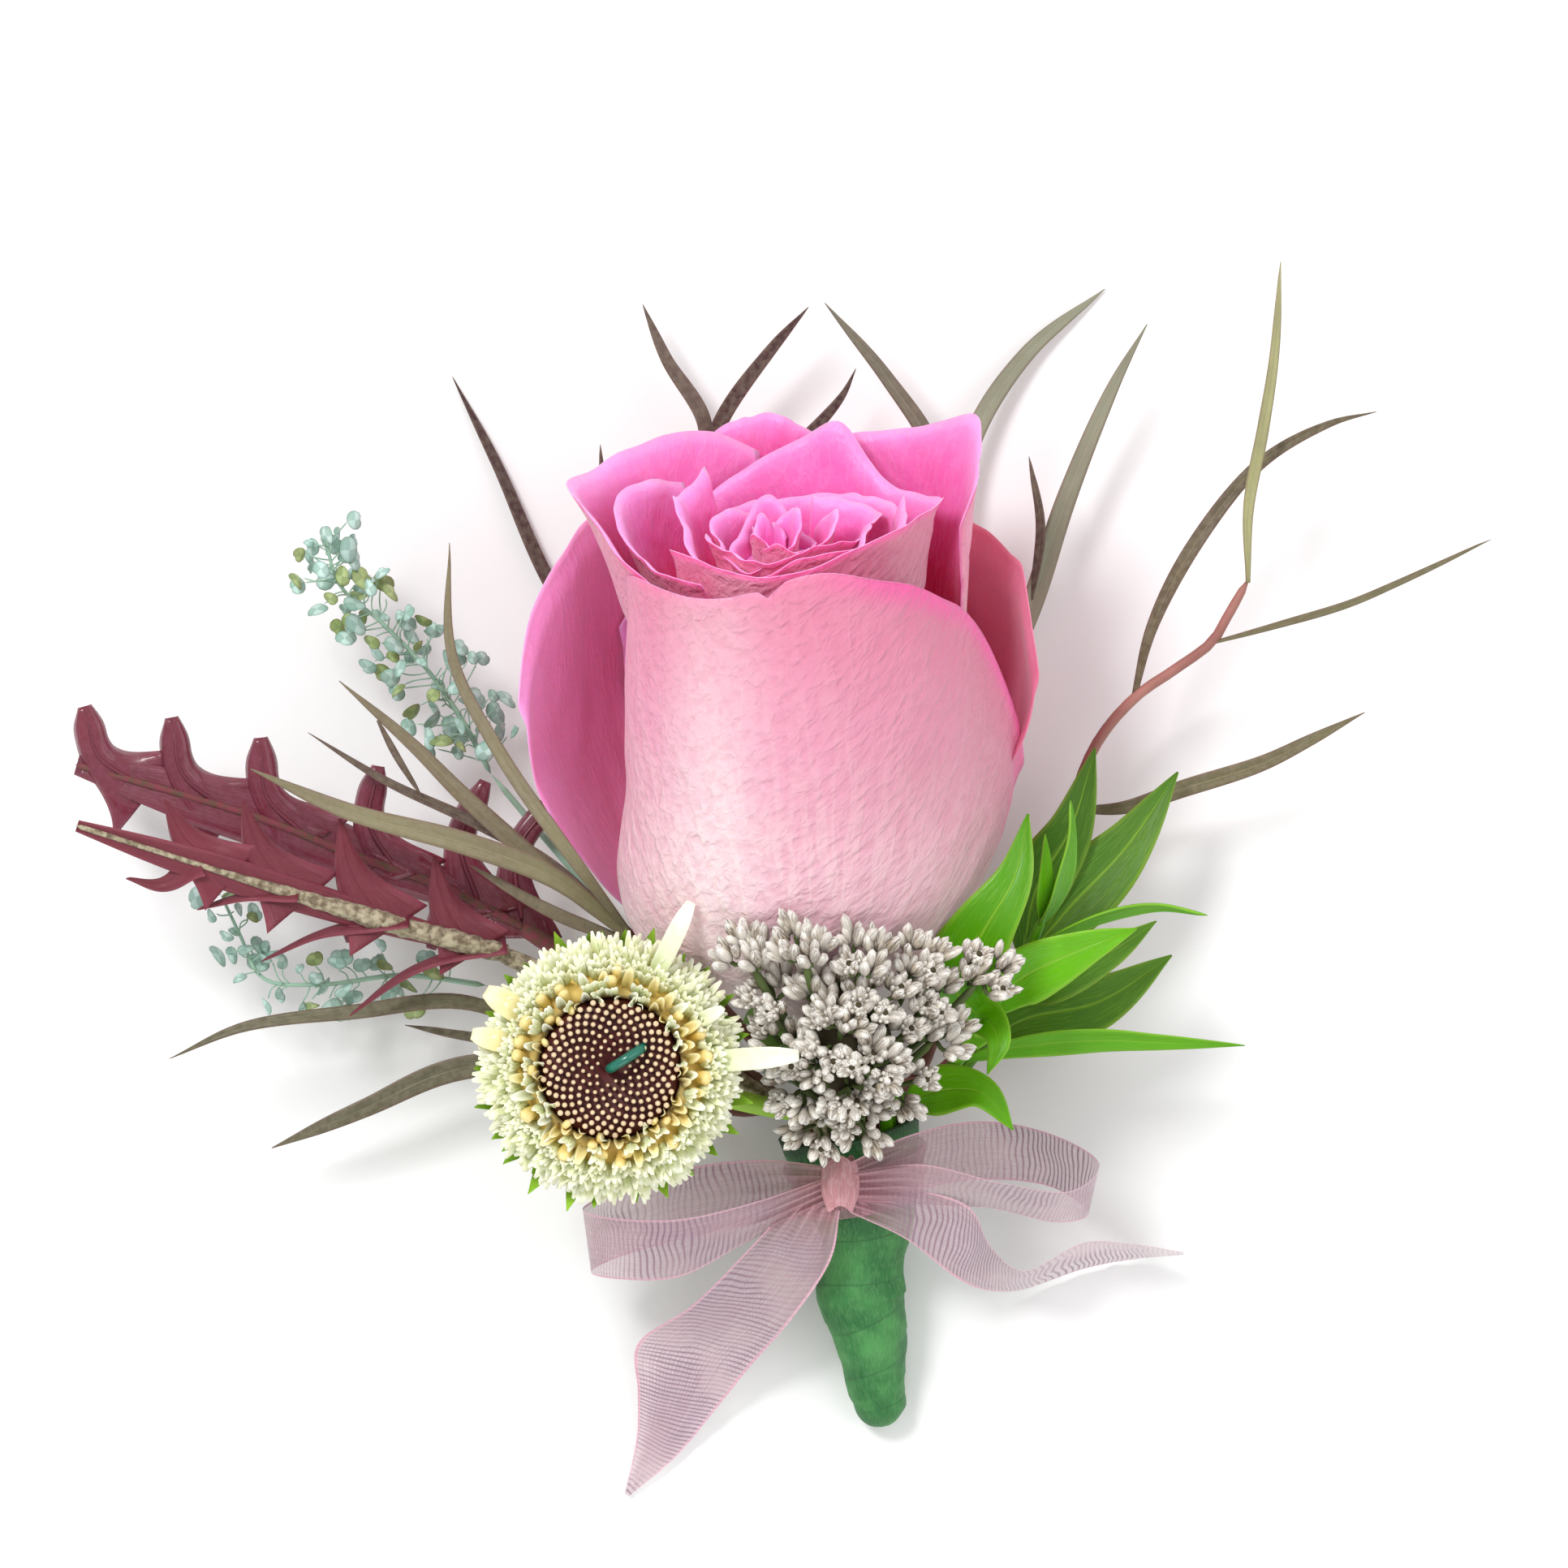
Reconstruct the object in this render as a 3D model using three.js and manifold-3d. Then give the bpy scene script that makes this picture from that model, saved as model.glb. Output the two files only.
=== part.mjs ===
// A boutonniere that lies on its back: a half-open rose, a germini, dried rice flower and mixed
// foliage, bound with green floral tape and tied with a sheer ribbon.
// Millimetres, +Z up. The origin is the small flat spot on the rose's back that rests on the surface.
// +Y points from the handle towards the opening of the rose.
import * as THREE from "three";
import { mergeVertices } from "three/addons/utils/BufferGeometryUtils.js";
import Module from "manifold-3d";

const wasm = await Module();
wasm.setup();

// Driving dimensions
const BLADE = 0.6; // thickness of every leaf, bract and ribbon
const STEM_R = 0.55; // radius of a foliage stem where it enters the tape
const SEAT_GAP = 0.3; // clearance between pieces that touch

const ROSE_BASE = [0.6, -19.2, 12.4];
const ROSE_TOP = [-2, 31.2, 36.9];
const PETAL = 1; // thickness of a rose petal
const BUD_CORE_TOP = 44; // height of the solid heart of the bud above its base
const BUD_CORE_INSET = 0.6; // the heart lies this far inside the bud's surface
const CORE_STEP = 11;
const HIP_R = 4.2;
const HIP_LENGTH = 6.5;
const ROSE_STEM_R = 1.8;

const HANDLE_MOUTH = [4.8, -31.2, 9];
const MOUTH_BORE_R = 5.4;
const MOUTH_DEPTH = 4.6;
const STEM_RING_R = 4.2; // the foliage stems stand in a ring round the rose stem
const STEM_END_DEPTH = 4;
const ROSE_STEM_END = 0.46; // share of the handle's line at which the rose's stem ends

const GERMINI = [-18.6, -25.2, 26]; // middle of the back of the germini's head
const HEAD_R = 13.9;
const DISC_R = 7;
const DISC_Z = 33.6; // height of the rim of the disc above the surface
const WIRE_R = 0.5;

// Vectors and curves
const vec = (p) => new THREE.Vector3(...p);
const UP = new THREE.Vector3(0, 0, 1);

function curveOf(points) {
  return new THREE.CatmullRomCurve3(points.map(vec), false, "centripetal");
}

// Smooth step between 0 and 1.
function ease(x) {
  const t = THREE.MathUtils.clamp(x, 0, 1);
  return t * t * (3 - 2 * t);
}

// Reads a row of evenly spaced values at t from 0 to 1, with a smooth passage between them.
function along(values, t) {
  const x = THREE.MathUtils.clamp(t, 0, 1) * (values.length - 1);
  const i = Math.min(Math.floor(x), values.length - 2);
  return THREE.MathUtils.lerp(values[i], values[i + 1], x - i);
}

// A small seeded generator, so that every build places the repeats alike.
function seeded(seed) {
  let state = seed;
  return () => {
    state = (state * 1664525 + 1013904223) % 4294967296;
    return state / 4294967296;
  };
}

// Solids
function solid(geometry) {
  const bare = geometry.clone();
  bare.deleteAttribute("normal");
  bare.deleteAttribute("uv");
  const merged = mergeVertices(bare, 1e-4);
  return new wasm.Manifold(
    new wasm.Mesh({
      numProp: 3,
      vertProperties: new Float32Array(merged.attributes.position.array),
      triVerts: new Uint32Array(merged.index.array),
    }),
  );
}

const joined = (solids) => solids.reduce((all, one) => all.add(one));

// The one body of a fused piece, with the hollows sealed inside it filled.
const whole = (body) => body.decompose().sort((a, b) => b.volume() - a.volume())[0];

function geometryOf(body) {
  const mesh = body.getMesh();
  const geometry = new THREE.BufferGeometry();
  geometry.setAttribute("position", new THREE.BufferAttribute(mesh.vertProperties, 3));
  geometry.setIndex(new THREE.BufferAttribute(mesh.triVerts, 1));
  geometry.computeVertexNormals();
  return geometry;
}

// A closed thin solid round a grid of centre points, split into triangles alike on both faces.
function sheet(lengthSteps, widthSteps, pointAt, thickness) {
  const grid = new THREE.PlaneGeometry(1, 1, widthSteps, lengthSteps);
  const place = grid.attributes.position;
  for (let i = 0; i < place.count; i++) {
    const u = 0.5 - place.getY(i);
    const p = pointAt(u, 2 * place.getX(i));
    place.setXYZ(i, p.x, p.y, p.z);
  }
  grid.computeVertexNormals();
  const normal = grid.attributes.normal;
  const count = place.count;
  const points = [];
  for (const side of [0.5, -0.5]) {
    for (let i = 0; i < count; i++) {
      const n = new THREE.Vector3().fromBufferAttribute(normal, i);
      const p = new THREE.Vector3().fromBufferAttribute(place, i);
      points.push(...p.addScaledVector(n, side * thickness).toArray());
    }
  }
  const faces = [];
  const edges = new Map();
  const index = grid.index.array;
  for (let i = 0; i < index.length; i += 3) {
    const [a, b, c] = [index[i], index[i + 1], index[i + 2]];
    faces.push(a, b, c, c + count, b + count, a + count);
    for (const [from, to] of [[a, b], [b, c], [c, a]]) {
      edges.set(from * count + to, [from, to]);
    }
  }
  for (const [from, to] of edges.values()) {
    if (edges.has(to * count + from)) continue;
    faces.push(to, from, from + count, to, from + count, to + count);
  }
  const closed = new THREE.BufferGeometry();
  closed.setAttribute("position", new THREE.Float32BufferAttribute(points, 3));
  closed.setIndex(faces);
  return solid(closed);
}

// Widths of a blade along its length, as shares of its greatest width.
const SHAPES = {
  strap: [0.35, 0.75, 1, 1, 0.85, 0.6, 0.12],
  ovate: [0.16, 0.7, 1, 0.95, 0.7, 0.4, 0.08],
  tongue: [0.4, 0.8, 1, 0.95, 0.6],
};

// A leaf on a curved midrib. roll turns it about the midrib, fold raises its edges.
function blade({ rib, width, shape = "strap", roll = 0, fold = 0.15, steps = 5, across = 2 }) {
  const curve = curveOf(rib);
  const turn = THREE.MathUtils.degToRad(roll);
  return sheet(
    steps,
    across,
    (u, v) => {
      const tangent = curve.getTangentAt(u);
      const flat = new THREE.Vector3().crossVectors(tangent, UP).normalize();
      const side = flat.applyAxisAngle(tangent, turn);
      const face = new THREE.Vector3().crossVectors(side, tangent);
      const half = (width * along(SHAPES[shape], u)) / 2;
      const lift = fold * half * Math.abs(v);
      return curve.getPointAt(u).addScaledVector(side, v * half).addScaledVector(face, lift);
    },
    BLADE,
  );
}

// A tapered round stem along a curve, closed at both ends.
function stem(points, r0 = STEM_R, r1 = r0, steps = 6, sides = 4) {
  const curve = curveOf(points);
  const frames = curve.computeFrenetFrames(steps);
  const geometry = new THREE.CylinderGeometry(1, 1, 1, sides, steps);
  const place = geometry.attributes.position;
  for (let i = 0; i < place.count; i++) {
    const u = place.getY(i) + 0.5;
    const step = Math.round(u * steps);
    const radius = THREE.MathUtils.lerp(r0, r1, u);
    const p = curve
      .getPointAt(u)
      .addScaledVector(frames.binormals[step], place.getX(i) * radius)
      .addScaledVector(frames.normals[step], place.getZ(i) * radius);
    place.setXYZ(i, p.x, p.y, p.z);
  }
  return solid(geometry);
}

// A pointed grain with eight faces, from its root to its tip.
function grain(root, tip, thick) {
  const from = vec(root);
  const axis = vec(tip).sub(from);
  const geometry = new THREE.OctahedronGeometry(1);
  geometry.scale(thick / 2, axis.length() / 2, thick / 2);
  const turn = new THREE.Quaternion().setFromUnitVectors(
    new THREE.Vector3(0, 1, 0),
    axis.clone().normalize(),
  );
  geometry.applyQuaternion(turn);
  geometry.translate(from.x + axis.x / 2, from.y + axis.y / 2, from.z + axis.z / 2);
  return solid(geometry);
}

// A round solid from a profile of [radius, height] points.
function turned(profile, sides) {
  return solid(new THREE.LatheGeometry(profile.map((p) => new THREE.Vector2(...p)), sides));
}

// Stands a solid that was made along +Y upright at a point.
function upright(body, at) {
  return body.rotate([90, 0, 0]).translate(at);
}

const BELOW_SURFACE = solid(new THREE.BoxGeometry(400, 400, 20).translate(0, 0, -10));

// What lies on the surface is flat where it touches it.
const rested = (body) => body.subtract(BELOW_SURFACE);

// The handle: its middle line and radii from the mouth to the tip
const HANDLE_LINE = [
  HANDLE_MOUTH,
  [5.8, -36, 8],
  [6.5, -40, 7.1],
  [6.4, -44, 6.2],
  [6.1, -47.6, 5.4],
  [6.9, -51, 4.6],
  [7.4, -55, 3.2],
  [7.9, -58.5, 2.1],
  [8.2, -61, 1.8],
];
const HANDLE_RADII = [7, 5.9, 5, 4, 4.4, 3.7, 3.1, 2.5, 0.9];
const WRAP_SIDES = 12;

const handleAxis = vec(HANDLE_LINE[1]).sub(vec(HANDLE_MOUTH)).normalize();
const mouthRight = new THREE.Vector3().crossVectors(UP, handleAxis).normalize();
const mouthUp = new THREE.Vector3().crossVectors(handleAxis, mouthRight);

// Where a foliage stem stands in the mouth: degrees from the right, towards the viewer, and depth.
function inMouth(degrees, depth = 0, radius = STEM_RING_R) {
  const angle = THREE.MathUtils.degToRad(degrees);
  return vec(HANDLE_MOUTH)
    .addScaledVector(mouthRight, radius * Math.cos(angle))
    .addScaledVector(mouthUp, radius * Math.sin(angle))
    .addScaledVector(handleAxis, depth)
    .toArray();
}

// The part of a stem inside the mouth, and the route that leaves it.
function route(degrees, points) {
  return [inMouth(degrees, STEM_END_DEPTH), inMouth(degrees, 0), inMouth(degrees, -2.4, 5), ...points];
}

function stemWrap() {
  const line = curveOf(HANDLE_LINE);
  const geometry = new THREE.CylinderGeometry(1, 1, 1, WRAP_SIDES, 14);
  const place = geometry.attributes.position;
  for (let i = 0; i < place.count; i++) {
    const u = place.getY(i) + 0.5;
    const share = u * (HANDLE_LINE.length - 1);
    const tangent = line.getTangent(u);
    const side = new THREE.Vector3().crossVectors(tangent, UP).normalize();
    const face = new THREE.Vector3().crossVectors(side, tangent);
    const radius = along(HANDLE_RADII, share / (HANDLE_RADII.length - 1));
    const p = line
      .getPoint(u)
      .addScaledVector(side, place.getX(i) * radius)
      .addScaledVector(face, place.getZ(i) * radius);
    place.setXYZ(i, p.x, p.y, p.z);
  }
  const mouthLine = [inMouth(0, -3, 0), inMouth(0, MOUTH_DEPTH, 0)];
  const mouth = stem(mouthLine, MOUTH_BORE_R + 0.2, MOUTH_BORE_R - 0.4, 1, WRAP_SIDES);
  const boreLine = roseStemLine(ROSE_STEM_END + 0.02);
  const bore = stem(boreLine, ROSE_STEM_R + SEAT_GAP, ROSE_STEM_R + SEAT_GAP, 6, 10);
  return rested(solid(geometry)).subtract(mouth).subtract(bore);
}

// The rose's own directions: up its axis, to the viewer and to the right
const roseAxis = vec(ROSE_TOP).sub(vec(ROSE_BASE)).normalize();
const roseFront = UP.clone().addScaledVector(roseAxis, -UP.dot(roseAxis)).normalize();
const roseRight = new THREE.Vector3().crossVectors(roseAxis, roseFront);

// A point of the rose: height above the base, distance from the axis, degrees from the front.
function rosePoint(height, radius, degrees) {
  const angle = THREE.MathUtils.degToRad(degrees);
  return vec(ROSE_BASE)
    .addScaledVector(roseAxis, height)
    .addScaledVector(roseFront, radius * Math.cos(angle))
    .addScaledVector(roseRight, radius * Math.sin(angle));
}

// The middle line of the rose's stem, to a share of the handle's line.
function roseStemLine(end) {
  return [
    rosePoint(-HIP_LENGTH + 1, 0, 0).toArray(),
    [3.2, -28.8, 8.9],
    inMouth(0, 0, 0),
    inMouth(0, 6, 0),
    curveOf(HANDLE_LINE).getPoint(0.32).toArray(),
    curveOf(HANDLE_LINE).getPoint(end).toArray(),
  ];
}

// Radius of the closed bud at evenly spaced heights
const BUD_HEIGHT = 56;
const BUD_RADII = [3.2, 11, 15, 16.9, 17.6, 17.7, 17.4, 17, 17];
const budRadius = (height) => along(BUD_RADII, height / BUD_HEIGHT);

// Rose petals. at: degrees round the axis; half: half its width in degrees; foot: height where it
// leaves the bud; rim: heights of its upper edge from one side to the other; out: how far it stands off
// the bud there; swell: bulge at its foot, none if it isn't given.
const PETALS = [
  { at: 12, half: 84, foot: 0.4, rim: [49, 55.5, 56, 46, 31], out: [0.6, 0.7, 0.9, 2.8, 6], swell: 0.8 },
  { at: -133, half: 50, foot: 0.4, rim: [42, 49, 54, 55, 46], out: [5, 5, 5, 7, 9.4], swell: 1.6 },
  { at: 134, half: 46, foot: 0.4, rim: [42, 51, 55, 50, 42], out: [7.8, 6.4, 5, 5, 5], swell: 1.6 },
  { at: 180, half: 50, foot: 0.4, rim: [36, 46, 50, 46, 36], out: [2.6, 3, 3.4, 3, 2.6], swell: 6.5 },
  { at: -112, half: 62, foot: 34, rim: [54, 57, 58.5, 54, 50], out: [-0.6, 1, 2.6, 1.6, 0.2] },
  { at: 128, half: 44, foot: 34, rim: [50, 57, 60, 57, 52], out: [-0.4, 0.8, 3, 1.6, 0.4] },
  { at: 20, half: 78, foot: 36, rim: [53, 55.5, 55.5, 56, 56], out: [-4.8, -3.4, -2.4, -2.2, -1.6] },
  { at: -168, half: 50, foot: 38, rim: [53, 56, 57.5, 56, 53], out: [-2.8, -1.4, -0.8, -1.6, -2.8] },
  { at: 158, half: 46, foot: 40, rim: [53, 56.5, 58.5, 56, 53], out: [-5, -4.2, -3.6, -4.4, -5.6] },
  { at: -95, half: 50, foot: 40, rim: [50, 54, 55.5, 53, 50], out: [-7.4, -6, -5, -6.2, -7.6] },
  { at: -10, half: 62, foot: 42, rim: [50, 53.5, 54, 53, 51], out: [-9.6, -8, -7.2, -8, -9.2] },
  { at: 110, half: 60, foot: 42, rim: [50, 53, 54, 53, 50], out: [-10.6, -9, -8, -9, -10.4] },
  { at: -130, half: 66, foot: 42, rim: [49, 52, 53, 52, 50], out: [-12, -10.6, -9.8, -10.6, -12] },
  { at: 30, half: 80, foot: 42, rim: [48, 51, 51.5, 51, 49], out: [-14, -13, -12.4, -13, -14.4] },
];
const STAND_FROM = 8; // height at which the petals begin to stand off the bud
const STAND_OVER = 28;
const SWELL_FULL_AT = 10; // height at which a petal bulges most
const OUTER_GRID = [6, 6]; // steps up and across a petal that starts at the base
const INNER_GRID = [2, 4];

// A petal's centre surface: u from its foot to its rim, v from -1 to 1 across it.
function petalPoint(petal, u, v) {
  const height = THREE.MathUtils.lerp(petal.foot, along(petal.rim, (v + 1) / 2), u);
  const narrow = petal.foot < 1 ? 0.62 + 0.38 * ease(u / 0.35) : 1;
  const stand = along(petal.out, (v + 1) / 2) * ease((height - STAND_FROM) / STAND_OVER);
  const bulge = (petal.swell ?? 0) * (1 - 0.7 * v * v);
  const swell = bulge * ease(height / SWELL_FULL_AT) * (1 - 0.8 * ease((height - SWELL_FULL_AT) / 20));
  const radius = Math.max(budRadius(height) + stand + swell, 1);
  return rosePoint(height, radius, petal.at + petal.half * narrow * v);
}

function roseBloom() {
  const heart = [[0, 0]];
  for (let height = 0; height < BUD_CORE_TOP; height += CORE_STEP) {
    heart.push([budRadius(height) - BUD_CORE_INSET, height]);
  }
  heart.push([14, BUD_CORE_TOP], [5, BUD_CORE_TOP + 1.5], [0, BUD_CORE_TOP + 2]);
  const place = new THREE.Matrix4().makeBasis(roseRight, roseAxis, roseFront);
  const profile = heart.map((p) => new THREE.Vector2(...p));
  const lathe = new THREE.LatheGeometry(profile, 14);
  lathe.applyMatrix4(place.setPosition(vec(ROSE_BASE)));
  const petals = PETALS.map((petal) => {
    const [tall, wide] = petal.foot < 1 ? OUTER_GRID : INNER_GRID;
    return sheet(tall, wide, (u, v) => petalPoint(petal, u, v), PETAL);
  });
  return rested(joined([solid(lathe), ...petals]));
}

function roseCalyx() {
  const hip = stem(
    [rosePoint(-HIP_LENGTH, 0, 0).toArray(), rosePoint(-0.9, 0, 0).toArray()],
    ROSE_STEM_R,
    HIP_R,
    3,
    10,
  );
  const sepals = [20, 92, 164, 236, 308].map((degrees) =>
    blade({
      rib: [
        rosePoint(-1.8, 3, degrees).toArray(),
        rosePoint(-2.2, 5.4, degrees).toArray(),
        rosePoint(-3.6, 7.6, degrees).toArray(),
      ],
      width: 2.6,
      shape: "ovate",
      fold: 0,
      steps: 3,
      across: 1,
    }),
  );
  return joined([hip, stem(roseStemLine(ROSE_STEM_END), ROSE_STEM_R, ROSE_STEM_R, 10, 8), ...sepals]);
}

// The germini's directions are the frame's own: its face looks straight up.
function headPoint(radius, degrees, z) {
  const angle = THREE.MathUtils.degToRad(degrees);
  return [GERMINI[0] + radius * Math.cos(angle), GERMINI[1] + radius * Math.sin(angle), z];
}

const DISC_DOME = 1.3;
const DISC_BUMPS = 38;
const GOLDEN_ANGLE = 137.508;

function germiniDisc() {
  const top = DISC_Z - GERMINI[2];
  const profile = [[0, 5], [DISC_R - SEAT_GAP, 5], [DISC_R - SEAT_GAP, top]];
  profile.push([DISC_R * 0.6, top + DISC_DOME * 0.6], [DISC_R * 0.25, top + DISC_DOME]);
  profile.push([0, top + DISC_DOME * 0.8]);
  const bumps = [];
  for (let i = 3; i < DISC_BUMPS; i++) {
    const share = Math.sqrt(i / DISC_BUMPS);
    const radius = (DISC_R - 1) * share;
    const z = DISC_Z + DISC_DOME * (1 - share * share);
    const root = headPoint(radius * 0.97, i * GOLDEN_ANGLE, z - 1);
    bumps.push(grain(root, headPoint(radius, i * GOLDEN_ANGLE, z + 0.9), 1));
  }
  const body = upright(turned(profile, 20), GERMINI);
  return joined([body, ...bumps]).subtract(wireShape(WIRE_R + SEAT_GAP));
}

// Rows of florets from the disc outwards: radius of the roots and tips, heights and count.
const FLORET_ROWS = [
  { root: 8.3, tip: 9, low: 32, high: 36, count: 15, thick: 1.7 },
  { root: 9.2, tip: 11.6, low: 30.8, high: 34.6, count: 17, thick: 1.9 },
  { root: 9.4, tip: 13.7, low: 29.6, high: 32.2, count: 19, thick: 2.1 },
];

function germiniFlorets() {
  const ring = [[DISC_R, 4.4], [9.4, 3.2], [10.6, 5], [9.6, 7.2], [8, 8.2], [DISC_R, 7.8]];
  ring.push(ring[0]);
  const pieces = [upright(turned(ring, 20), GERMINI)];
  const draw = seeded(7);
  for (const row of FLORET_ROWS) {
    for (let i = 0; i < row.count; i++) {
      const degrees = (360 * (i + 0.6 * draw())) / row.count + row.tip * 30;
      const reach = row.tip * (0.96 + 0.06 * draw());
      const root = headPoint(row.root, degrees, row.low);
      pieces.push(grain(root, headPoint(reach, degrees, row.high + 0.7 * draw()), row.thick));
    }
  }
  const hole = upright(turned([[0, 3], [DISC_R, 3], [DISC_R, 16], [0, 16]], 20), GERMINI);
  return joined(pieces).subtract(hole);
}

const BRACTS = 20;
const HEAD_STEM_R = 1.5;
const GERMINI_SEAT = 102;

function germiniCalyx() {
  const cup = [[0, -0.4], [2, -0.2], [6, 1.2], [8.6, 2.8], [6.6, 4.4], [0, 4.4]];
  const pieces = [upright(turned(cup, 14), GERMINI)];
  for (let i = 0; i < BRACTS; i++) {
    const degrees = (360 * i) / BRACTS;
    const row = i % 2;
    const rib = [
      headPoint(6.4, degrees, 27 + row * 0.3),
      headPoint(10.4, degrees, 28 - row * 0.6),
      headPoint(HEAD_R + 0.2 - row * 0.9, degrees, 29.9 - row * 1.6),
    ];
    pieces.push(blade({ rib, width: 2.8, shape: "ovate", fold: 0, steps: 2, across: 1 }));
  }
  const line = route(GERMINI_SEAT, [
    [-2, -29.4, 16.2],
    [-10, -27.4, 18.2],
    [-16.4, -25.7, 18.8],
    [GERMINI[0], GERMINI[1], 21],
    [GERMINI[0], GERMINI[1], GERMINI[2] + 0.4],
  ]);
  pieces.push(stem(line, 0.7, HEAD_STEM_R, 11, 6));
  const shank = solid(
    new THREE.CylinderGeometry(WIRE_R + SEAT_GAP, WIRE_R + SEAT_GAP, 10, 8)
      .rotateX(Math.PI / 2)
      .translate(GERMINI[0], GERMINI[1], GERMINI[2] + 1),
  );
  return joined(pieces).subtract(shank);
}

// The wire rises through the head, bends over and goes back into the disc.
function wireShape(radius) {
  const [x, y] = GERMINI;
  const line = [
    [x, y, GERMINI[2] - 3.4],
    [x, y, GERMINI[2]],
    [x, y, DISC_Z - 1],
    [x + 0.2, y + 0.1, DISC_Z + 1.4],
    [x + 1.5, y + 0.9, DISC_Z + 2.3],
    [x + 3, y + 1.9, DISC_Z + 1.5],
    [x + 3.3, y + 2.1, DISC_Z - 0.4],
    [x + 3.3, y + 2.1, DISC_Z - 2.4 - 1.4 * (radius - WIRE_R)],
  ];
  return stem(line, radius, radius, 14, 6);
}

// Rice flower: small heads of dried buds on short branches of one stem
const RICE_FORK = [4.2, -28.4, 17.5];
const RICE_HEADS = [
  [-5, -14.2, 35.6, 2.6],
  [0.4, -13.6, 37, 2.7],
  [6, -14.4, 36.6, 2.8],
  [11.4, -15, 34.2, 2.7],
  [-1.4, -19.6, 33.6, 3.3],
  [4.4, -19.6, 35, 3.4],
  [10.2, -20.2, 33, 3.3],
  [0.2, -25.4, 30.2, 3.4],
  [5.8, -25.6, 31.4, 3.4],
  [11.6, -24.8, 28.8, 3],
  [2.4, -30, 25.6, 2.7],
  [18, -16.2, 29.8, 3.2],
];
const BUDS_PER_HEAD = 6;

function riceFlower() {
  const draw = seeded(21);
  const pieces = [stem(route(76, [[5.4, -30, 14.4], RICE_FORK]), STEM_R, 0.8, 5, 6)];
  pieces.push(grain([4.2, -29.4, 16], [4.6, -20, 32], 8));
  for (const [x, y, z, radius] of RICE_HEADS) {
    const middle = vec([x, y, z - 1]);
    const bend = vec(RICE_FORK).lerp(middle, 0.5).add(new THREE.Vector3(0, -0.8, 0.6));
    pieces.push(stem([RICE_FORK, bend.toArray(), middle.toArray()], 0.7, 0.6, 2, 3));
    const core = new THREE.OctahedronGeometry(radius * 0.7).translate(x, y, z);
    pieces.push(solid(core));
    for (let i = 0; i < BUDS_PER_HEAD; i++) {
      const rise = 1 - (1.25 * (i + 0.5)) / BUDS_PER_HEAD;
      const spread = Math.sqrt(1 - rise * rise);
      const angle = THREE.MathUtils.degToRad(i * GOLDEN_ANGLE + 40 * draw());
      const out = new THREE.Vector3(spread * Math.cos(angle), spread * Math.sin(angle), rise);
      const root = vec([x, y, z]).addScaledVector(out, radius * 0.25);
      const tip = vec([x, y, z]).addScaledVector(out, radius * (1 + 0.18 * draw()));
      pieces.push(grain(root.toArray(), tip.toArray(), 1.9));
    }
  }
  return joined(pieces);
}

// Ruscus: a stem and its pointed oval leaves
const ovals = (leaves, fold) =>
  leaves.map((leaf) => blade({ shape: "ovate", fold, steps: 4, ...leaf }));

function ruscusFront() {
  const line = route(25, [
    [11, -28.6, 12.2],
    [15.4, -24.8, 15.4],
    [19, -20.4, 18],
    [22, -15, 19.6],
    [24.2, -10, 20.4],
  ]);
  const leaves = [
    {
      rib: [[18.6, -21, 18], [15.4, -17, 22.6], [18.2, -11.6, 25], [21.2, -6.4, 26.4], [22.5, -0.2, 27]],
      width: 7.2,
      roll: -12,
    },
    {
      rib: [[23.6, -11.4, 20.2], [25.3, -8.3, 21.5], [26.7, -2.6, 22.6], [26.7, 1.1, 23]],
      width: 3.6,
      roll: 66,
    },
    { rib: [[23.8, -10.8, 20.4], [24.2, -7, 22.6], [24.2, -2.2, 24.6]], width: 1.9, roll: 30 },
    {
      rib: [[22.6, -13.6, 19.8], [29.6, -10.3, 22.4], [35.1, -9.3, 23.4], [40.2, -10.2, 23]],
      width: 3.4,
      roll: 70,
    },
    {
      rib: [[19.2, -20, 18], [21.4, -16.8, 21.4], [27.6, -13.6, 24], [33.2, -11.5, 25]],
      width: 5.8,
      roll: 10,
    },
    {
      rib: [
        [15.8, -24.6, 15.6], [21.8, -23.2, 16.4], [29.6, -22.5, 16.4], [35.1, -22.7, 15.6],
        [44, -23.1, 14],
      ],
      width: 2.7,
      roll: 24,
    },
    {
      rib: [[16.4, -23.6, 16], [18.2, -20.4, 20.6], [19.6, -22.6, 23], [18.5, -25.9, 23.4]],
      width: 4.2,
      roll: 0,
    },
    {
      rib: [[10.4, -29, 12], [13.4, -27.7, 15], [18, -27.8, 17.6], [21.1, -31.4, 18]],
      width: 5,
      roll: -14,
    },
  ];
  return joined([stem(line, STEM_R, 0.4, 8), ...ovals(leaves, 0.2)]);
}

function ruscusBack() {
  const line = route(0, [[12, -29, 9.6], [17.4, -24, 10.6], [21.4, -17, 11.6], [22.6, -10.4, 12]]);
  const leaves = [
    {
      rib: [[22, -14.6, 11.8], [23.4, -7.6, 13], [26.8, -1.6, 14], [29.2, 6.3, 14.4]],
      width: 6,
      roll: 8,
    },
    {
      rib: [[22, -15, 11.8], [26.6, -9.6, 12.6], [32.4, -3.4, 12.4], [37.4, 3.9, 11.6]],
      width: 6.8,
      roll: -8,
    },
    {
      rib: [[20.6, -18.6, 11.4], [25, -16.4, 15.6], [31, -13.6, 17.4], [35.2, -10.8, 18]],
      width: 5,
      roll: 12,
    },
    {
      rib: [[18.4, -22.6, 11], [22.6, -20.4, 12.4], [29.6, -18.8, 12.8], [36.8, -14.2, 12]],
      width: 6.4,
      roll: 0,
    },
  ];
  return joined([stem(line, STEM_R, 0.4, 7), ...ovals(leaves, 0.14)]);
}

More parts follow.
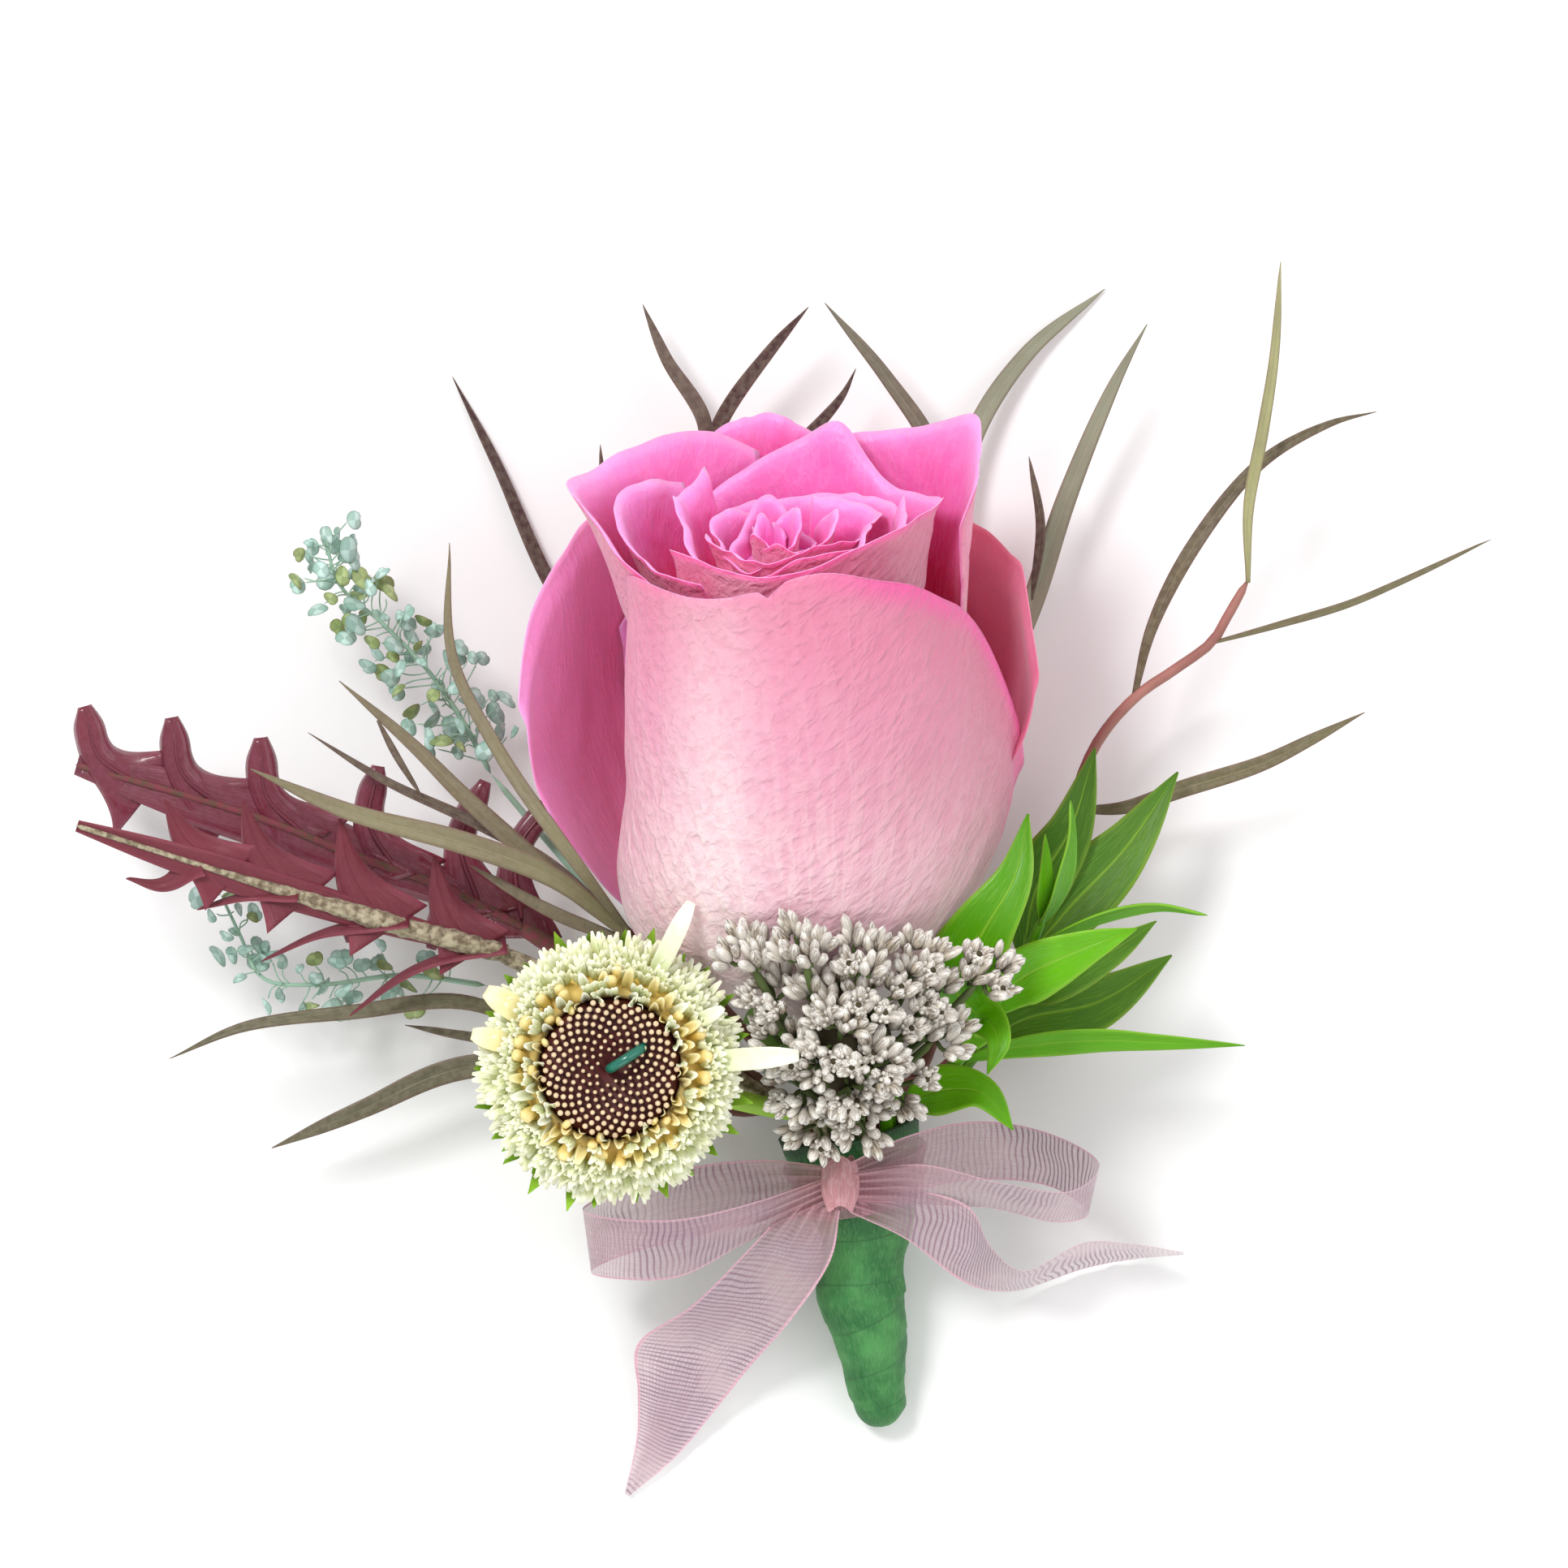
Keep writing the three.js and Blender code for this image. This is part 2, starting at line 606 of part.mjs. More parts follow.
// Agonis: narrow pointed leaves
const straps = (leaves) => leaves.map((leaf) => blade({ fold: 0, across: 1, ...leaf }));

function agonisTopLeft() {
  const line = route(-78, [
    [1, -27, 3.4], [-8, -19, 2.2], [-15, -8, 1.8], [-16.6, 5, 2], [-14.4, 20, 2.6], [-10, 33, 4],
  ]);
  const leaves = straps([
    {
      rib: [[-10.6, 31.4, 4], [-9.4, 38.2, 5.4], [-13.2, 44.8, 5], [-15.5, 50.2, 4]],
      width: 2,
      roll: 20,
    },
    { rib: [[-10.6, 31.4, 4], [-7.4, 39.2, 6.4], [-2.8, 45.6, 8], [0.9, 49.9, 9]], width: 2, roll: -16 },
    {
      rib: [[-11.6, 28, 3.4], [-3.4, 33.4, 6.2], [4, 40.8, 7.4], [5.6, 43.8, 7.6]],
      width: 1.9,
      roll: 10,
    },
    {
      rib: [[-16, 10, 2.2], [-24.4, 22, 1.6], [-30, 34.4, 0.8], [-34.4, 43.1, 0.1]],
      width: 1.8,
      roll: 14,
    },
    { rib: [[-14.8, 18, 2.6], [-19, 28, 5], [-19.7, 36.3, 6.6]], width: 1.6, roll: 30 },
  ]);
  return rested(joined([stem(line, STEM_R, 0.45, 12), ...leaves]));
}

function agonisTopRight() {
  const line = route(-52, [[11, -27, 3.8], [15, -16, 2.4], [17, -4, 2], [17, 10, 2.6], [15, 24, 3.6]]);
  const leaves = straps([
    { rib: [[15.2, 22.6, 3.6], [13.6, 35, 6], [8.6, 43, 8], [2.5, 50.3, 9]], width: 2.2, roll: -10 },
    {
      rib: [[15.2, 22.6, 3.6], [16.8, 36, 3], [22.4, 45.2, 1.4], [30.3, 51.8, 0.1]],
      width: 2.5,
      roll: 6,
    },
    {
      rib: [[17, 6, 2.6], [22.8, 20, 4], [26.4, 31, 5.6], [31, 42, 7.4], [34.4, 48.2, 8.4]],
      width: 2.8,
      roll: 12,
    },
    { rib: [[23, 21, 4.2], [23.9, 28.2, 6.6], [22.7, 35.1, 8]], width: 1.3, roll: -20 },
  ]);
  return rested(joined([stem(line, STEM_R, 0.45, 12), ...leaves]));
}

function agonisRightSpray() {
  const line = route(-26, [
    [13, -26.4, 6],
    [20.6, -18, 5.6],
    [25, -6, 7],
    [29.1, 6.2, 9],
    [33.2, 11.3, 10.4],
    [37.2, 14.1, 11.4],
    [40.8, 16.8, 12.4],
    [42.3, 19.3, 12.8],
    [44.5, 23.2, 13.4],
  ]);
  const leaves = straps([
    {
      rib: [
        [44.3, 22.6, 13.4], [44.3, 30, 14.6], [45.7, 37.8, 16], [46.8, 44.9, 16.6],
        [47.5, 54.3, 16.6],
      ],
      width: 1.7,
      roll: 24,
    },
    {
      rib: [
        [33, 11, 10.4], [34.9, 18.3, 11.4], [39.3, 26.7, 12], [45.7, 34.5, 12.4], [52.4, 38.3, 12.4],
        [57, 39.5, 12],
      ],
      width: 1.9,
      roll: -10,
    },
    {
      rib: [
        [40.6, 16.6, 12.4], [47.4, 18.5, 12.8], [54.1, 20.5, 12.6], [59.1, 22.6, 12],
        [68.4, 26.9, 10],
      ],
      width: 1.1,
      roll: 30,
    },
    {
      rib: [
        [27, 0.2, 7.8], [32, 0.4, 8], [38.2, 2.4, 9], [45.7, 4.8, 10], [50.7, 7.2, 10.4],
        [55.9, 9.8, 10.4],
      ],
      width: 2.3,
      roll: 16,
    },
  ]);
  return joined([stem(line, STEM_R, 0.4, 16), ...leaves]);
}

function agonisLeft() {
  const line = route(154, [[-4, -26.6, 13.6], [-11, -19, 16.8], [-17.6, -11, 20]]);
  const leaves = straps([
    {
      rib: [
        [-16.4, -12.4, 19.6], [-21.5, -5.3, 22], [-29.4, 5.7, 21.4], [-34.2, 15.4, 20.4],
        [-34.5, 26.5, 20],
      ],
      width: 1.9,
      roll: -18,
    },
    {
      rib: [
        [-15.6, -13.4, 19.2], [-24.2, -6.4, 19.6], [-32.9, 1.3, 19], [-38.2, 6.6, 18.4],
        [-45.4, 12.9, 18],
      ],
      width: 2.3,
      roll: 14,
    },
    {
      rib: [
        [-15.6, -13.4, 19.2], [-24, -5.6, 17.4], [-32, -1.1, 16.4], [-40.8, 3, 16],
        [-48.5, 7.8, 16.4],
      ],
      width: 1.5,
      roll: 10,
    },
    {
      rib: [[-16, -13, 19.4], [-24, -6.6, 22.6], [-32.9, -3.1, 23.4], [-44.3, 0, 22.6], [-54.1, 4.2, 21]],
      width: 2.9,
      roll: -8,
    },
    { rib: [[-15.6, -13.4, 19.2], [-24.2, -10, 19.6], [-32.5, -5.3, 19.4]], width: 1.7, roll: 10 },
    { rib: [[-41.6, 9, 18.6], [-39.8, 5.6, 18], [-37.2, 1.4, 17]], width: 0.9, roll: 0 },
  ]);
  return joined([stem(line, STEM_R, 0.6, 8), ...leaves]);
}

function agonisLowLeft() {
  const line = route(-128, [[-6, -29.6, 6], [-16, -26, 8.4], [-25, -22.6, 10.4]]);
  const leaves = straps([
    {
      rib: [
        [-22, -23.6, 9.8], [-32.9, -18.9, 12.6], [-43.8, -19.8, 13.4], [-54.9, -21.3, 13],
        [-62.2, -24.4, 12],
      ],
      width: 2,
      roll: 12,
    },
    {
      rib: [[-20, -24.4, 9.6], [-34.2, -25.5, 9.4], [-43, -29.3, 8.4], [-52.2, -33.3, 7]],
      width: 3,
      roll: -12,
    },
    { rib: [[-22, -23.6, 9.8], [-32.9, -22.2, 10.6], [-39, -21.1, 10.6]], width: 1.4, roll: 0 },
  ]);
  return joined([stem(line, STEM_R, 0.6, 8), ...leaves]);
}

// Grevillea: a midrib with curved, toothed lobes. Each lobe has a root on the rib and a tip.
function lobedLeaf(ribLine, ribWidth, lobes, roll) {
  const middle = blade({ rib: ribLine, width: ribWidth, roll, fold: 0, steps: 8, across: 1 });
  const fingers = lobes.map(({ from, tip, width, bend = 0.18, turn = 0 }) => {
    const a = vec(from);
    const b = vec(tip);
    const aside = new THREE.Vector3(a.y - b.y, b.x - a.x, 0).multiplyScalar(bend);
    const mid = a.clone().lerp(b, 0.5).add(aside).toArray();
    const rib = [from, mid, tip];
    return blade({ rib, width, shape: "tongue", roll: turn, fold: 0, steps: 4, across: 1 });
  });
  return joined([middle, ...fingers]);
}

function grevilleaUpper() {
  const midrib = [
    [-71.4, 4.6, 12], [-61.4, 1.8, 12.6], [-52.6, -0.9, 12.6], [-43.8, -4.4, 12.4],
    [-35.1, -7.5, 12], [-27, -11.6, 11.4],
  ];
  const lobes = [
    { from: [-65, 2.6, 12.2], tip: [-70.6, 10.4, 13.4], width: 4.4 },
    { from: [-56.6, 0.2, 12.4], tip: [-62, 9.3, 13.8], width: 4.2 },
    { from: [-48.4, -2.6, 12.4], tip: [-53.2, 7.3, 13.8], width: 4.4 },
    { from: [-39.6, -6, 12.2], tip: [-41.6, 4.5, 13.4], width: 4 },
    { from: [-31.6, -9.2, 11.8], tip: [-31, 3, 12.4], width: 3.8 },
    { from: [-27.4, -11, 11.4], tip: [-23.8, 1.8, 11.6], width: 3.4 },
    { from: [-50.6, -1.6, 12.4], tip: [-51.6, -9.4, 11.6], width: 3.4, bend: -0.1 },
    { from: [-42, -5, 12.4], tip: [-44.3, -13, 11.4], width: 3.4, bend: -0.1 },
    { from: [-33.6, -8.2, 12], tip: [-36.4, -13.6, 11.4], width: 3, bend: -0.1 },
  ];
  const leaf = lobedLeaf(midrib, 5.6, lobes, 0);
  const stalk = route(180, [[-4, -27.4, 9.6], [-16, -19, 10.4], [-28, -11, 11.4]]);
  return joined([leaf, stem(stalk, STEM_R, 0.7, 8)]);
}

function grevilleaLower() {
  const midrib = [
    [-71.2, -1.4, 19.6], [-61.8, -4.4, 20], [-54.9, -6.6, 19.8], [-41.7, -10.6, 19],
    [-28.5, -14.2, 18],
  ];
  const lobes = [
    { from: [-56.6, -5.8, 19.8], tip: [-62.6, 1.2, 20.6], width: 3.6, bend: 0.1 },
    { from: [-49.6, -8, 19.4], tip: [-54.9, 1, 20.4], width: 4, bend: 0.1 },
    { from: [-41, -10.6, 19], tip: [-45.3, -0.7, 19.8], width: 4, bend: 0.1 },
    { from: [-32.4, -13, 18.2], tip: [-36, -4.4, 18.8], width: 3.6, bend: 0.1 },
    { from: [-50.4, -8, 19.4], tip: [-59.4, -9.7, 18], width: 1.8, bend: -0.06, turn: 60 },
    { from: [-40, -11, 19], tip: [-53.1, -14.8, 17], width: 1.8, bend: -0.08, turn: 60 },
    { from: [-30.6, -13.6, 18], tip: [-44.4, -20.2, 17], width: 1.8, bend: -0.1, turn: 60 },
    { from: [-60, -5, 19.8], tip: [-66.4, -6.6, 18.6], width: 1.8, bend: 0.2, turn: 30 },
  ];
  const leaf = lobedLeaf(midrib, 3.4, lobes, 10);
  const stalk = route(128, [[-4, -27.6, 14.6], [-15, -20.4, 16.8], [-30, -13.8, 18]]);
  return joined([leaf, stem(stalk, STEM_R, 0.8, 8)]);
}

// Peppergrass: flat round pods on thin stalks, by the golden angle along each twig
const POD_R = 1.25;

function podSpray(twigs, seed) {
  const draw = seeded(seed);
  const pieces = [];
  for (const { line, pods, reach, from = 0, flat = 0.45 } of twigs) {
    const curve = curveOf(line);
    pieces.push(stem(line, 0.42, 0.34, 7, 4));
    for (let i = 0; i < pods; i++) {
      const u = from + ((1 - from) * (i + 0.5)) / pods;
      const root = curve.getPointAt(u);
      const tangent = curve.getTangentAt(u);
      const side = new THREE.Vector3().crossVectors(tangent, UP).normalize();
      side.applyAxisAngle(tangent, THREE.MathUtils.degToRad(i * GOLDEN_ANGLE));
      side.z *= flat;
      const length = reach * (0.55 + 0.6 * draw()) * (1 - 0.35 * u);
      const tip = root.clone().addScaledVector(side, length).addScaledVector(tangent, length * 0.5);
      pieces.push(stem([root.toArray(), tip.toArray()], 0.3, 0.3, 1, 3));
      const disc = new THREE.CylinderGeometry(POD_R, POD_R, BLADE, 5);
      disc.rotateX(Math.PI / 2 + 1.1 * (draw() - 0.5));
      disc.rotateY(1.2 * (draw() - 0.5));
      disc.translate(tip.x + side.x * POD_R * 0.7, tip.y + side.y * POD_R * 0.7, tip.z);
      pieces.push(solid(disc));
    }
  }
  return joined(pieces);
}

function peppergrassUpper() {
  const foot = route(-102, [[-5, -24.6, 5.2], [-15, -14, 6], [-24, -4, 7], [-30.5, 3.7, 8]]);
  const line = [
    [-30.5, 3.7, 8], [-33.2, 8.8, 9.6], [-36.6, 13.8, 11], [-41.3, 18.7, 12.4], [-45.4, 22.4, 13.4],
    [-46.9, 27.4, 14],
  ];
  const spray = podSpray([{ line, pods: 17, reach: 5.4, from: 0.04 }], 3);
  return joined([spray, stem(foot, STEM_R, 0.42, 8)]);
}

function peppergrassLower() {
  const foot = route(-154, [[-6, -27.2, 8.4], [-20, -21.4, 8.6], [-31, -17.2, 8.6]]);
  const line = [
    [-31, -17.2, 8.6], [-39.2, -16.2, 9], [-47.1, -17.1, 9.4], [-53, -16.5, 9.6], [-55.4, -12, 9.8],
    [-57.2, -8.2, 10],
  ];
  const spray = podSpray([{ line, pods: 8, reach: 3.2, from: 0.1, flat: 0.25 }], 5);
  return joined([spray, stem(foot, STEM_R, 0.42, 8)]);
}

// Ribbon: strips between two edges, each a list of points
function ribbonStrip(upper, lower, steps) {
  const a = curveOf(upper);
  const b = curveOf(lower);
  return sheet(steps, 1, (u, v) => a.getPoint(u).lerp(b.getPoint(u), (v + 1) / 2), BLADE);
}

function ribbonBow() {
  const leftLoop = ribbonStrip(
    [
      [3, -35, 16.4], [-4, -34.4, 13.6], [-12, -35.4, 12], [-19, -37.8, 12.6], [-21.4, -39.2, 15],
      [-19, -40, 18], [-12, -40.2, 19.4], [-4, -38.4, 18.6], [3, -36, 17],
    ],
    [
      [3, -38.4, 14.4], [-4, -40.6, 9.6], [-12, -42.4, 5.8], [-18.6, -44.4, 5.6],
      [-20.6, -45.6, 8.4], [-18, -46.2, 11.6], [-12, -46, 13], [-5, -42.4, 14.4], [3, -38.6, 15.6],
    ],
    14,
  );
  const rightLoop = ribbonStrip(
    [
      [5, -34.6, 16.6], [11, -31.9, 15], [18, -30.6, 12.6], [25, -31.9, 13], [29.6, -34.8, 16.4],
      [26.8, -37.4, 20], [20, -36.6, 20.8], [12, -34.8, 19.4], [5, -35.6, 17],
    ],
    [
      [5, -38, 15], [11, -37.4, 12.8], [18, -36.4, 7.4], [25, -37.2, 6.2], [28.6, -39.8, 9.4],
      [25.6, -40.6, 12.6], [19, -39.2, 13], [12, -38.8, 13.8], [5, -38.4, 15.6],
    ],
    14,
  );
  const rightTail = ribbonStrip(
    [
      [5, -36.4, 15], [11, -37.2, 15.6], [16.7, -39, 14.6], [18.9, -43, 12], [22, -45.4, 10.6],
      [28.3, -42.6, 9.6], [33, -42.8, 9], [38, -43.6, 6],
    ],
    [
      [5, -39.6, 14], [10.6, -42.3, 12.2], [15.5, -46.1, 9], [18.6, -47.4, 4.4], [22, -47.4, 1.4],
      [28.3, -45.3, 0.7], [33, -44.4, 0.6], [38, -43.9, 4],
    ],
    16,
  );
  const leftTail = ribbonStrip(
    [
      [-0.6, -38.4, 15.6], [-5.3, -43.5, 14.4], [-10.6, -48.8, 10.2], [-16.1, -52.9, 5.4],
      [-16, -57.5, 3], [-16.1, -62, 1.4], [-17.3, -67.6, 0.6],
    ],
    [
      [4, -39.4, 15.6], [3.2, -44, 13.8], [-0.7, -50.1, 9.6], [-4.9, -55, 5], [-8.5, -59.5, 2.4],
      [-12.2, -63.9, 1.1], [-16.9, -67.9, 0.6],
    ],
    14,
  );
  const knot = new THREE.SphereGeometry(1, 8, 6);
  knot.scale(2.3, 3.1, 2);
  knot.translate(4, -36.7, 16.2);
  return rested(joined([solid(knot), tieBand(), leftLoop, rightLoop, rightTail, leftTail]));
}

// The ribbon's turn round the handle, under the knot.
const BAND_AT = 0.135;
const BAND_HALF = 2.4;

function tieBand() {
  const line = curveOf(HANDLE_LINE);
  const middle = line.getPoint(BAND_AT);
  const axis = line.getTangent(BAND_AT);
  const side = new THREE.Vector3().crossVectors(axis, UP).normalize();
  const face = new THREE.Vector3().crossVectors(side, axis);
  return sheet(
    1,
    18,
    (u, v) => {
      const angle = Math.PI * 1.04 * v;
      const radius = 7.2 - 1.1 * u;
      return middle
        .clone()
        .addScaledVector(axis, BAND_HALF * (2 * u - 1))
        .addScaledVector(face, -radius * Math.cos(angle))
        .addScaledVector(side, radius * Math.sin(angle));
    },
    BLADE,
  );
}

// The object: name, solid, colour and roughness of each piece
const boutonniere = new THREE.Group();

function addPiece(name, body, color, roughness) {
  const material = new THREE.MeshStandardMaterial({ color, roughness, metalness: 0 });
  const mesh = new THREE.Mesh(geometryOf(whole(body)), material);
  mesh.name = name;
  boutonniere.add(mesh);
}

addPiece("rose_bloom", roseBloom(), 0xeba6bd, 0.55);
addPiece("rose_calyx", roseCalyx(), 0x5f8a3a, 0.6);
addPiece("stem_wrap", stemWrap(), 0x2f7d4b, 0.75);
addPiece("germini_disc", germiniDisc(), 0x4a2318, 0.7);
addPiece("germini_florets", germiniFlorets(), 0xeee7a8, 0.6);
addPiece("germini_calyx", germiniCalyx(), 0x86a83c, 0.6);
addPiece("germini_wire", wireShape(WIRE_R), 0x1f7a63, 0.35);
addPiece("rice_flower", riceFlower(), 0xbfb39c, 0.85);
addPiece("ruscus_front", ruscusFront(), 0x6fb52a, 0.4);
addPiece("ruscus_back", ruscusBack(), 0x3c7a1e, 0.45);
addPiece("agonis_top_left", agonisTopLeft(), 0x54403e, 0.6);
addPiece("agonis_top_right", agonisTopRight(), 0x7b7d68, 0.6);
addPiece("agonis_right_spray", agonisRightSpray(), 0x77704f, 0.6);
addPiece("agonis_left", agonisLeft(), 0x77745a, 0.6);
addPiece("agonis_low_left", agonisLowLeft(), 0x5f6048, 0.6);
addPiece("grevillea_upper", grevilleaUpper(), 0x7c2f42, 0.45);
addPiece("grevillea_lower", grevilleaLower(), 0x84384a, 0.5);
addPiece("peppergrass_upper", peppergrassUpper(), 0xa9cdbc, 0.6);
addPiece("peppergrass_lower", peppergrassLower(), 0xa9cdbc, 0.6);
addPiece("ribbon_bow", ribbonBow(), 0xc79aa4, 0.5);

export default boutonniere;
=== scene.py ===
"""The looks of a boutonniere that lies on its back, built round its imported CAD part.

Every shape is worked out in millimetres in the part's own frame (+Z up, +Y from the handle towards the
opening of the rose) and scaled to metres at the end. Repeats are placed by the golden angle with seeded
changes, so that each run gives the same picture.
"""

import random
from functools import partial
from math import atan2, cos, degrees, exp, pi, radians, sin, sqrt, tau

import bmesh
import bpy
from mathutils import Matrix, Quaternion, Vector, noise


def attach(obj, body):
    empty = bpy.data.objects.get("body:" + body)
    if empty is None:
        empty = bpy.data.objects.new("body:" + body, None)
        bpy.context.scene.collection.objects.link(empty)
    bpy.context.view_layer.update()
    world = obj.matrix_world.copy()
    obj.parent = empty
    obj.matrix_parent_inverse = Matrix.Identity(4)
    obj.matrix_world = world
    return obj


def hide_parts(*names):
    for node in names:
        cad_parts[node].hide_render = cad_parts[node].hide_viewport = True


bl_info = {
    "name": "Boutonniere",
    "version": (1, 0, 0),
    "blender": (4, 5, 0),
    "location": "View3D > Sidebar > Boutonniere",
    "description": "Builds a boutonniere of a rose, a germini, rice flower, foliage and a ribbon",
    "category": "Add Mesh",
}

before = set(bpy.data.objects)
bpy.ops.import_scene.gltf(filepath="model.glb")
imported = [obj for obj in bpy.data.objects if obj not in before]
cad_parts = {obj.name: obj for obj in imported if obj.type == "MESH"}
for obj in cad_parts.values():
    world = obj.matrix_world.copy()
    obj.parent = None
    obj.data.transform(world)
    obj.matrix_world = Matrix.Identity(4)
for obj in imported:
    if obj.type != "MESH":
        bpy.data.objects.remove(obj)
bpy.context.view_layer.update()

MM = 0.001
UP = Vector((0, 0, 1))
GOLDEN_ANGLE = radians(137.508)


def rgb(red, green, blue):
    """A display colour from 0 to 255, as Blender's linear colour."""
    return tuple(pow(c / 255, 2.2) for c in (red, green, blue))


# Settings that a user would change


def colour(name, description, *default):
    return bpy.props.FloatVectorProperty(
        name=name, description=description, subtype="COLOR", size=3, min=0, max=1,
        default=rgb(*default),
    )


def length(name, description, default, least=0.0001):
    return bpy.props.FloatProperty(
        name=name, description=description, default=default, min=least, precision=5, unit="LENGTH"
    )


def number_of(name, description, default, least):
    return bpy.props.IntProperty(name=name, description=description, default=default, min=least)


class BoutonniereColours(bpy.types.PropertyGroup):
    """Colours of the flowers, the foliage and the ribbon."""

    rose_outside: colour("Rose outside", "Outer face of the front petal", 226, 156, 180)
    rose_inside: colour("Rose inside", "Inner face of the petals", 250, 112, 194)
    rose_base: colour("Rose base", "Where the petals leave the hip", 242, 218, 220)
    rose_rim: colour("Rose rim", "Edge of the petals", 238, 84, 158)
    germini_petal: colour("Germini petal", "Outer florets of the germini", 234, 245, 194)
    germini_heart: colour("Germini heart", "Dark middle of the germini", 92, 30, 28)
    rice: colour("Rice flower", "Dried buds", 184, 172, 152)
    ruscus: colour("Ruscus", "Upper face of the ruscus leaves", 104, 182, 10)
    agonis: colour("Agonis", "Grey bloom on the narrow leaves", 150, 142, 120)
    grevillea: colour("Grevillea", "Toothed leaves", 132, 46, 62)
    pod: colour("Pods", "Round pods of the peppergrass", 180, 212, 203)
    tape: colour("Tape", "Floral tape round the handle", 30, 98, 46)
    ribbon: colour("Ribbon", "Sheer ribbon", 200, 156, 166)


class BoutonniereSizes(bpy.types.PropertyGroup):
    """Sizes and counts of what is too fine for the solid part."""

    petal_thickness: length("Petal thickness", "Thickness of a rose petal", 0.0004)
    leaf_thickness: length("Leaf thickness", "Thickness of a leaf", 0.0003)
    ribbon_width: length("Ribbon width", "Width of the ribbon before it is tied", 0.01, 0.01)
    stamens: number_of("Stamens", "Stamens in the germini's disc", 240, 20)
    buds: number_of("Buds", "Closed buds on each sprig of the rice flower", 7, 4)
    pods: number_of("Pods", "Pods on the larger spray of peppergrass", 96, 8)


def sizes():
    return bpy.context.scene.boutonniere_sizes


def colours():
    return bpy.context.scene.boutonniere_colours


# Curves


def ease(x):
    """Smooth step between 0 and 1."""
    t = min(max(x, 0.0), 1.0)
    return t * t * (3 - 2 * t)


def lerp(a, b, t):
    return a + (b - a) * t


def section(values, t):
    """Where t (0 to 1) lies in a row of evenly spaced values: the place before it, and the share on."""
    x = min(max(t, 0.0), 1.0) * (len(values) - 1)
    i = min(int(x), len(values) - 2)
    return i, x - i


def ends(values, i):
    """The four values round a section; past the row's ends they go straight on."""
    b, c = values[i], values[i + 1]
    a = values[i - 1] if i > 0 else 2 * b - c
    d = values[i + 2] if i + 2 < len(values) else 2 * c - b
    return a, b, c, d


def hermite(a, slope_a, b, slope_b, f):
    """The point at f (0 to 1) of the curve from a to b with these slopes."""
    return (
        a * (2 * f**3 - 3 * f**2 + 1)
        + slope_a * (f**3 - 2 * f**2 + f)
        + b * (3 * f**2 - 2 * f**3)
        + slope_b * (f**3 - f**2)
    )


def straight(values, t):
    """Reads a row of evenly spaced values at t, with corners at the values."""
    i, f = section(values, t)
    return lerp(values[i], values[i + 1], f)


def smooth(values, t):
    """Reads a row of evenly spaced values at t, with no corners."""
    i, f = section(values, t)
    a, b, c, d = ends(values, i)
    return hermite(b, (c - a) / 2, c, (d - b) / 2, f)


def turned(profile, u, read=smooth):
    """Radius and height at u of a turned shape that comes to a point at both ends."""
    radius, height = (read(column, u) for column in zip(*profile))
    return (0.0 if u in (0.0, 1.0) else max(radius, 0)), height


def ringed(middle, a, b, angle, radius):
    """The point of a ring round a middle, at an angle from a towards b."""
    return middle + a * radius * cos(angle) + b * radius * sin(angle)


class Line:
    """A smooth line through points: a centripetal Catmull-Rom spline, also read by length."""

    STEPS = 160

    def __init__(self, points):
        self.points = [Vector(p) for p in points]
        self.samples = [self.at(k / self.STEPS) for k in range(self.STEPS + 1)]
        self.reach = [0.0]
        for a, b in zip(self.samples, self.samples[1:]):
            self.reach.append(self.reach[-1] + (b - a).length)
        self.length = self.reach[-1]

    def at(self, t):
        i, f = section(self.points, t)
        a, b, c, d = ends(self.points, i)
        ab, bc, cd = (sqrt(max((v - u).length, 1e-9)) for u, v in ((a, b), (b, c), (c, d)))
        slope_b = ((b - a) / ab - (c - a) / (ab + bc) + (c - b) / bc) * bc
        slope_c = ((c - b) / bc - (d - b) / (bc + cd) + (d - c) / cd) * bc
        return hermite(b, slope_b, c, slope_c, f)

    def place(self, share):
        """The point at a share of the line's length."""
        goal = min(max(share, 0.0), 1.0) * self.length
        low, high = 0, self.STEPS
        while high - low > 1:
            middle = (low + high) // 2
            if self.reach[middle] <= goal:
                low = middle
            else:
                high = middle
        span = max(self.reach[high] - self.reach[low], 1e-9)
        return self.samples[low].lerp(self.samples[high], (goal - self.reach[low]) / span)

    def tangent(self, share):
        near = 0.004
        return (self.place(share + near) - self.place(share - near)).normalized()


# Meshes


def add_object(name, data):
    obj = bpy.data.objects.new(name, data)
    bpy.context.scene.collection.objects.link(obj)
    return obj


BATCH = 3000  # a kit sets its shapes aside at this many vertices, because a large mesh slows each step
RIM_THINNER = 0.8  # how much thinner the rim of a leaf or petal is

# Widths of a blade along its length, as shares of its greatest width
SHAPES = {
    "strap": [0.35, 0.75, 1, 1, 0.85, 0.6, 0.04],
    "ovate": [0.16, 0.7, 1, 0.95, 0.7, 0.4, 0.03],
    "finger": [2.6, 1.75, 1.15, 0.85, 0.74, 0.68, 0.3],
    "tooth": [2.3, 1.5, 0.95, 0.5, 0.06],
    "lobe": [0.45, 0.75, 1, 0.95, 0.35],
    "petal": [0.5, 0.85, 1, 1, 0.9, 0.5],
}


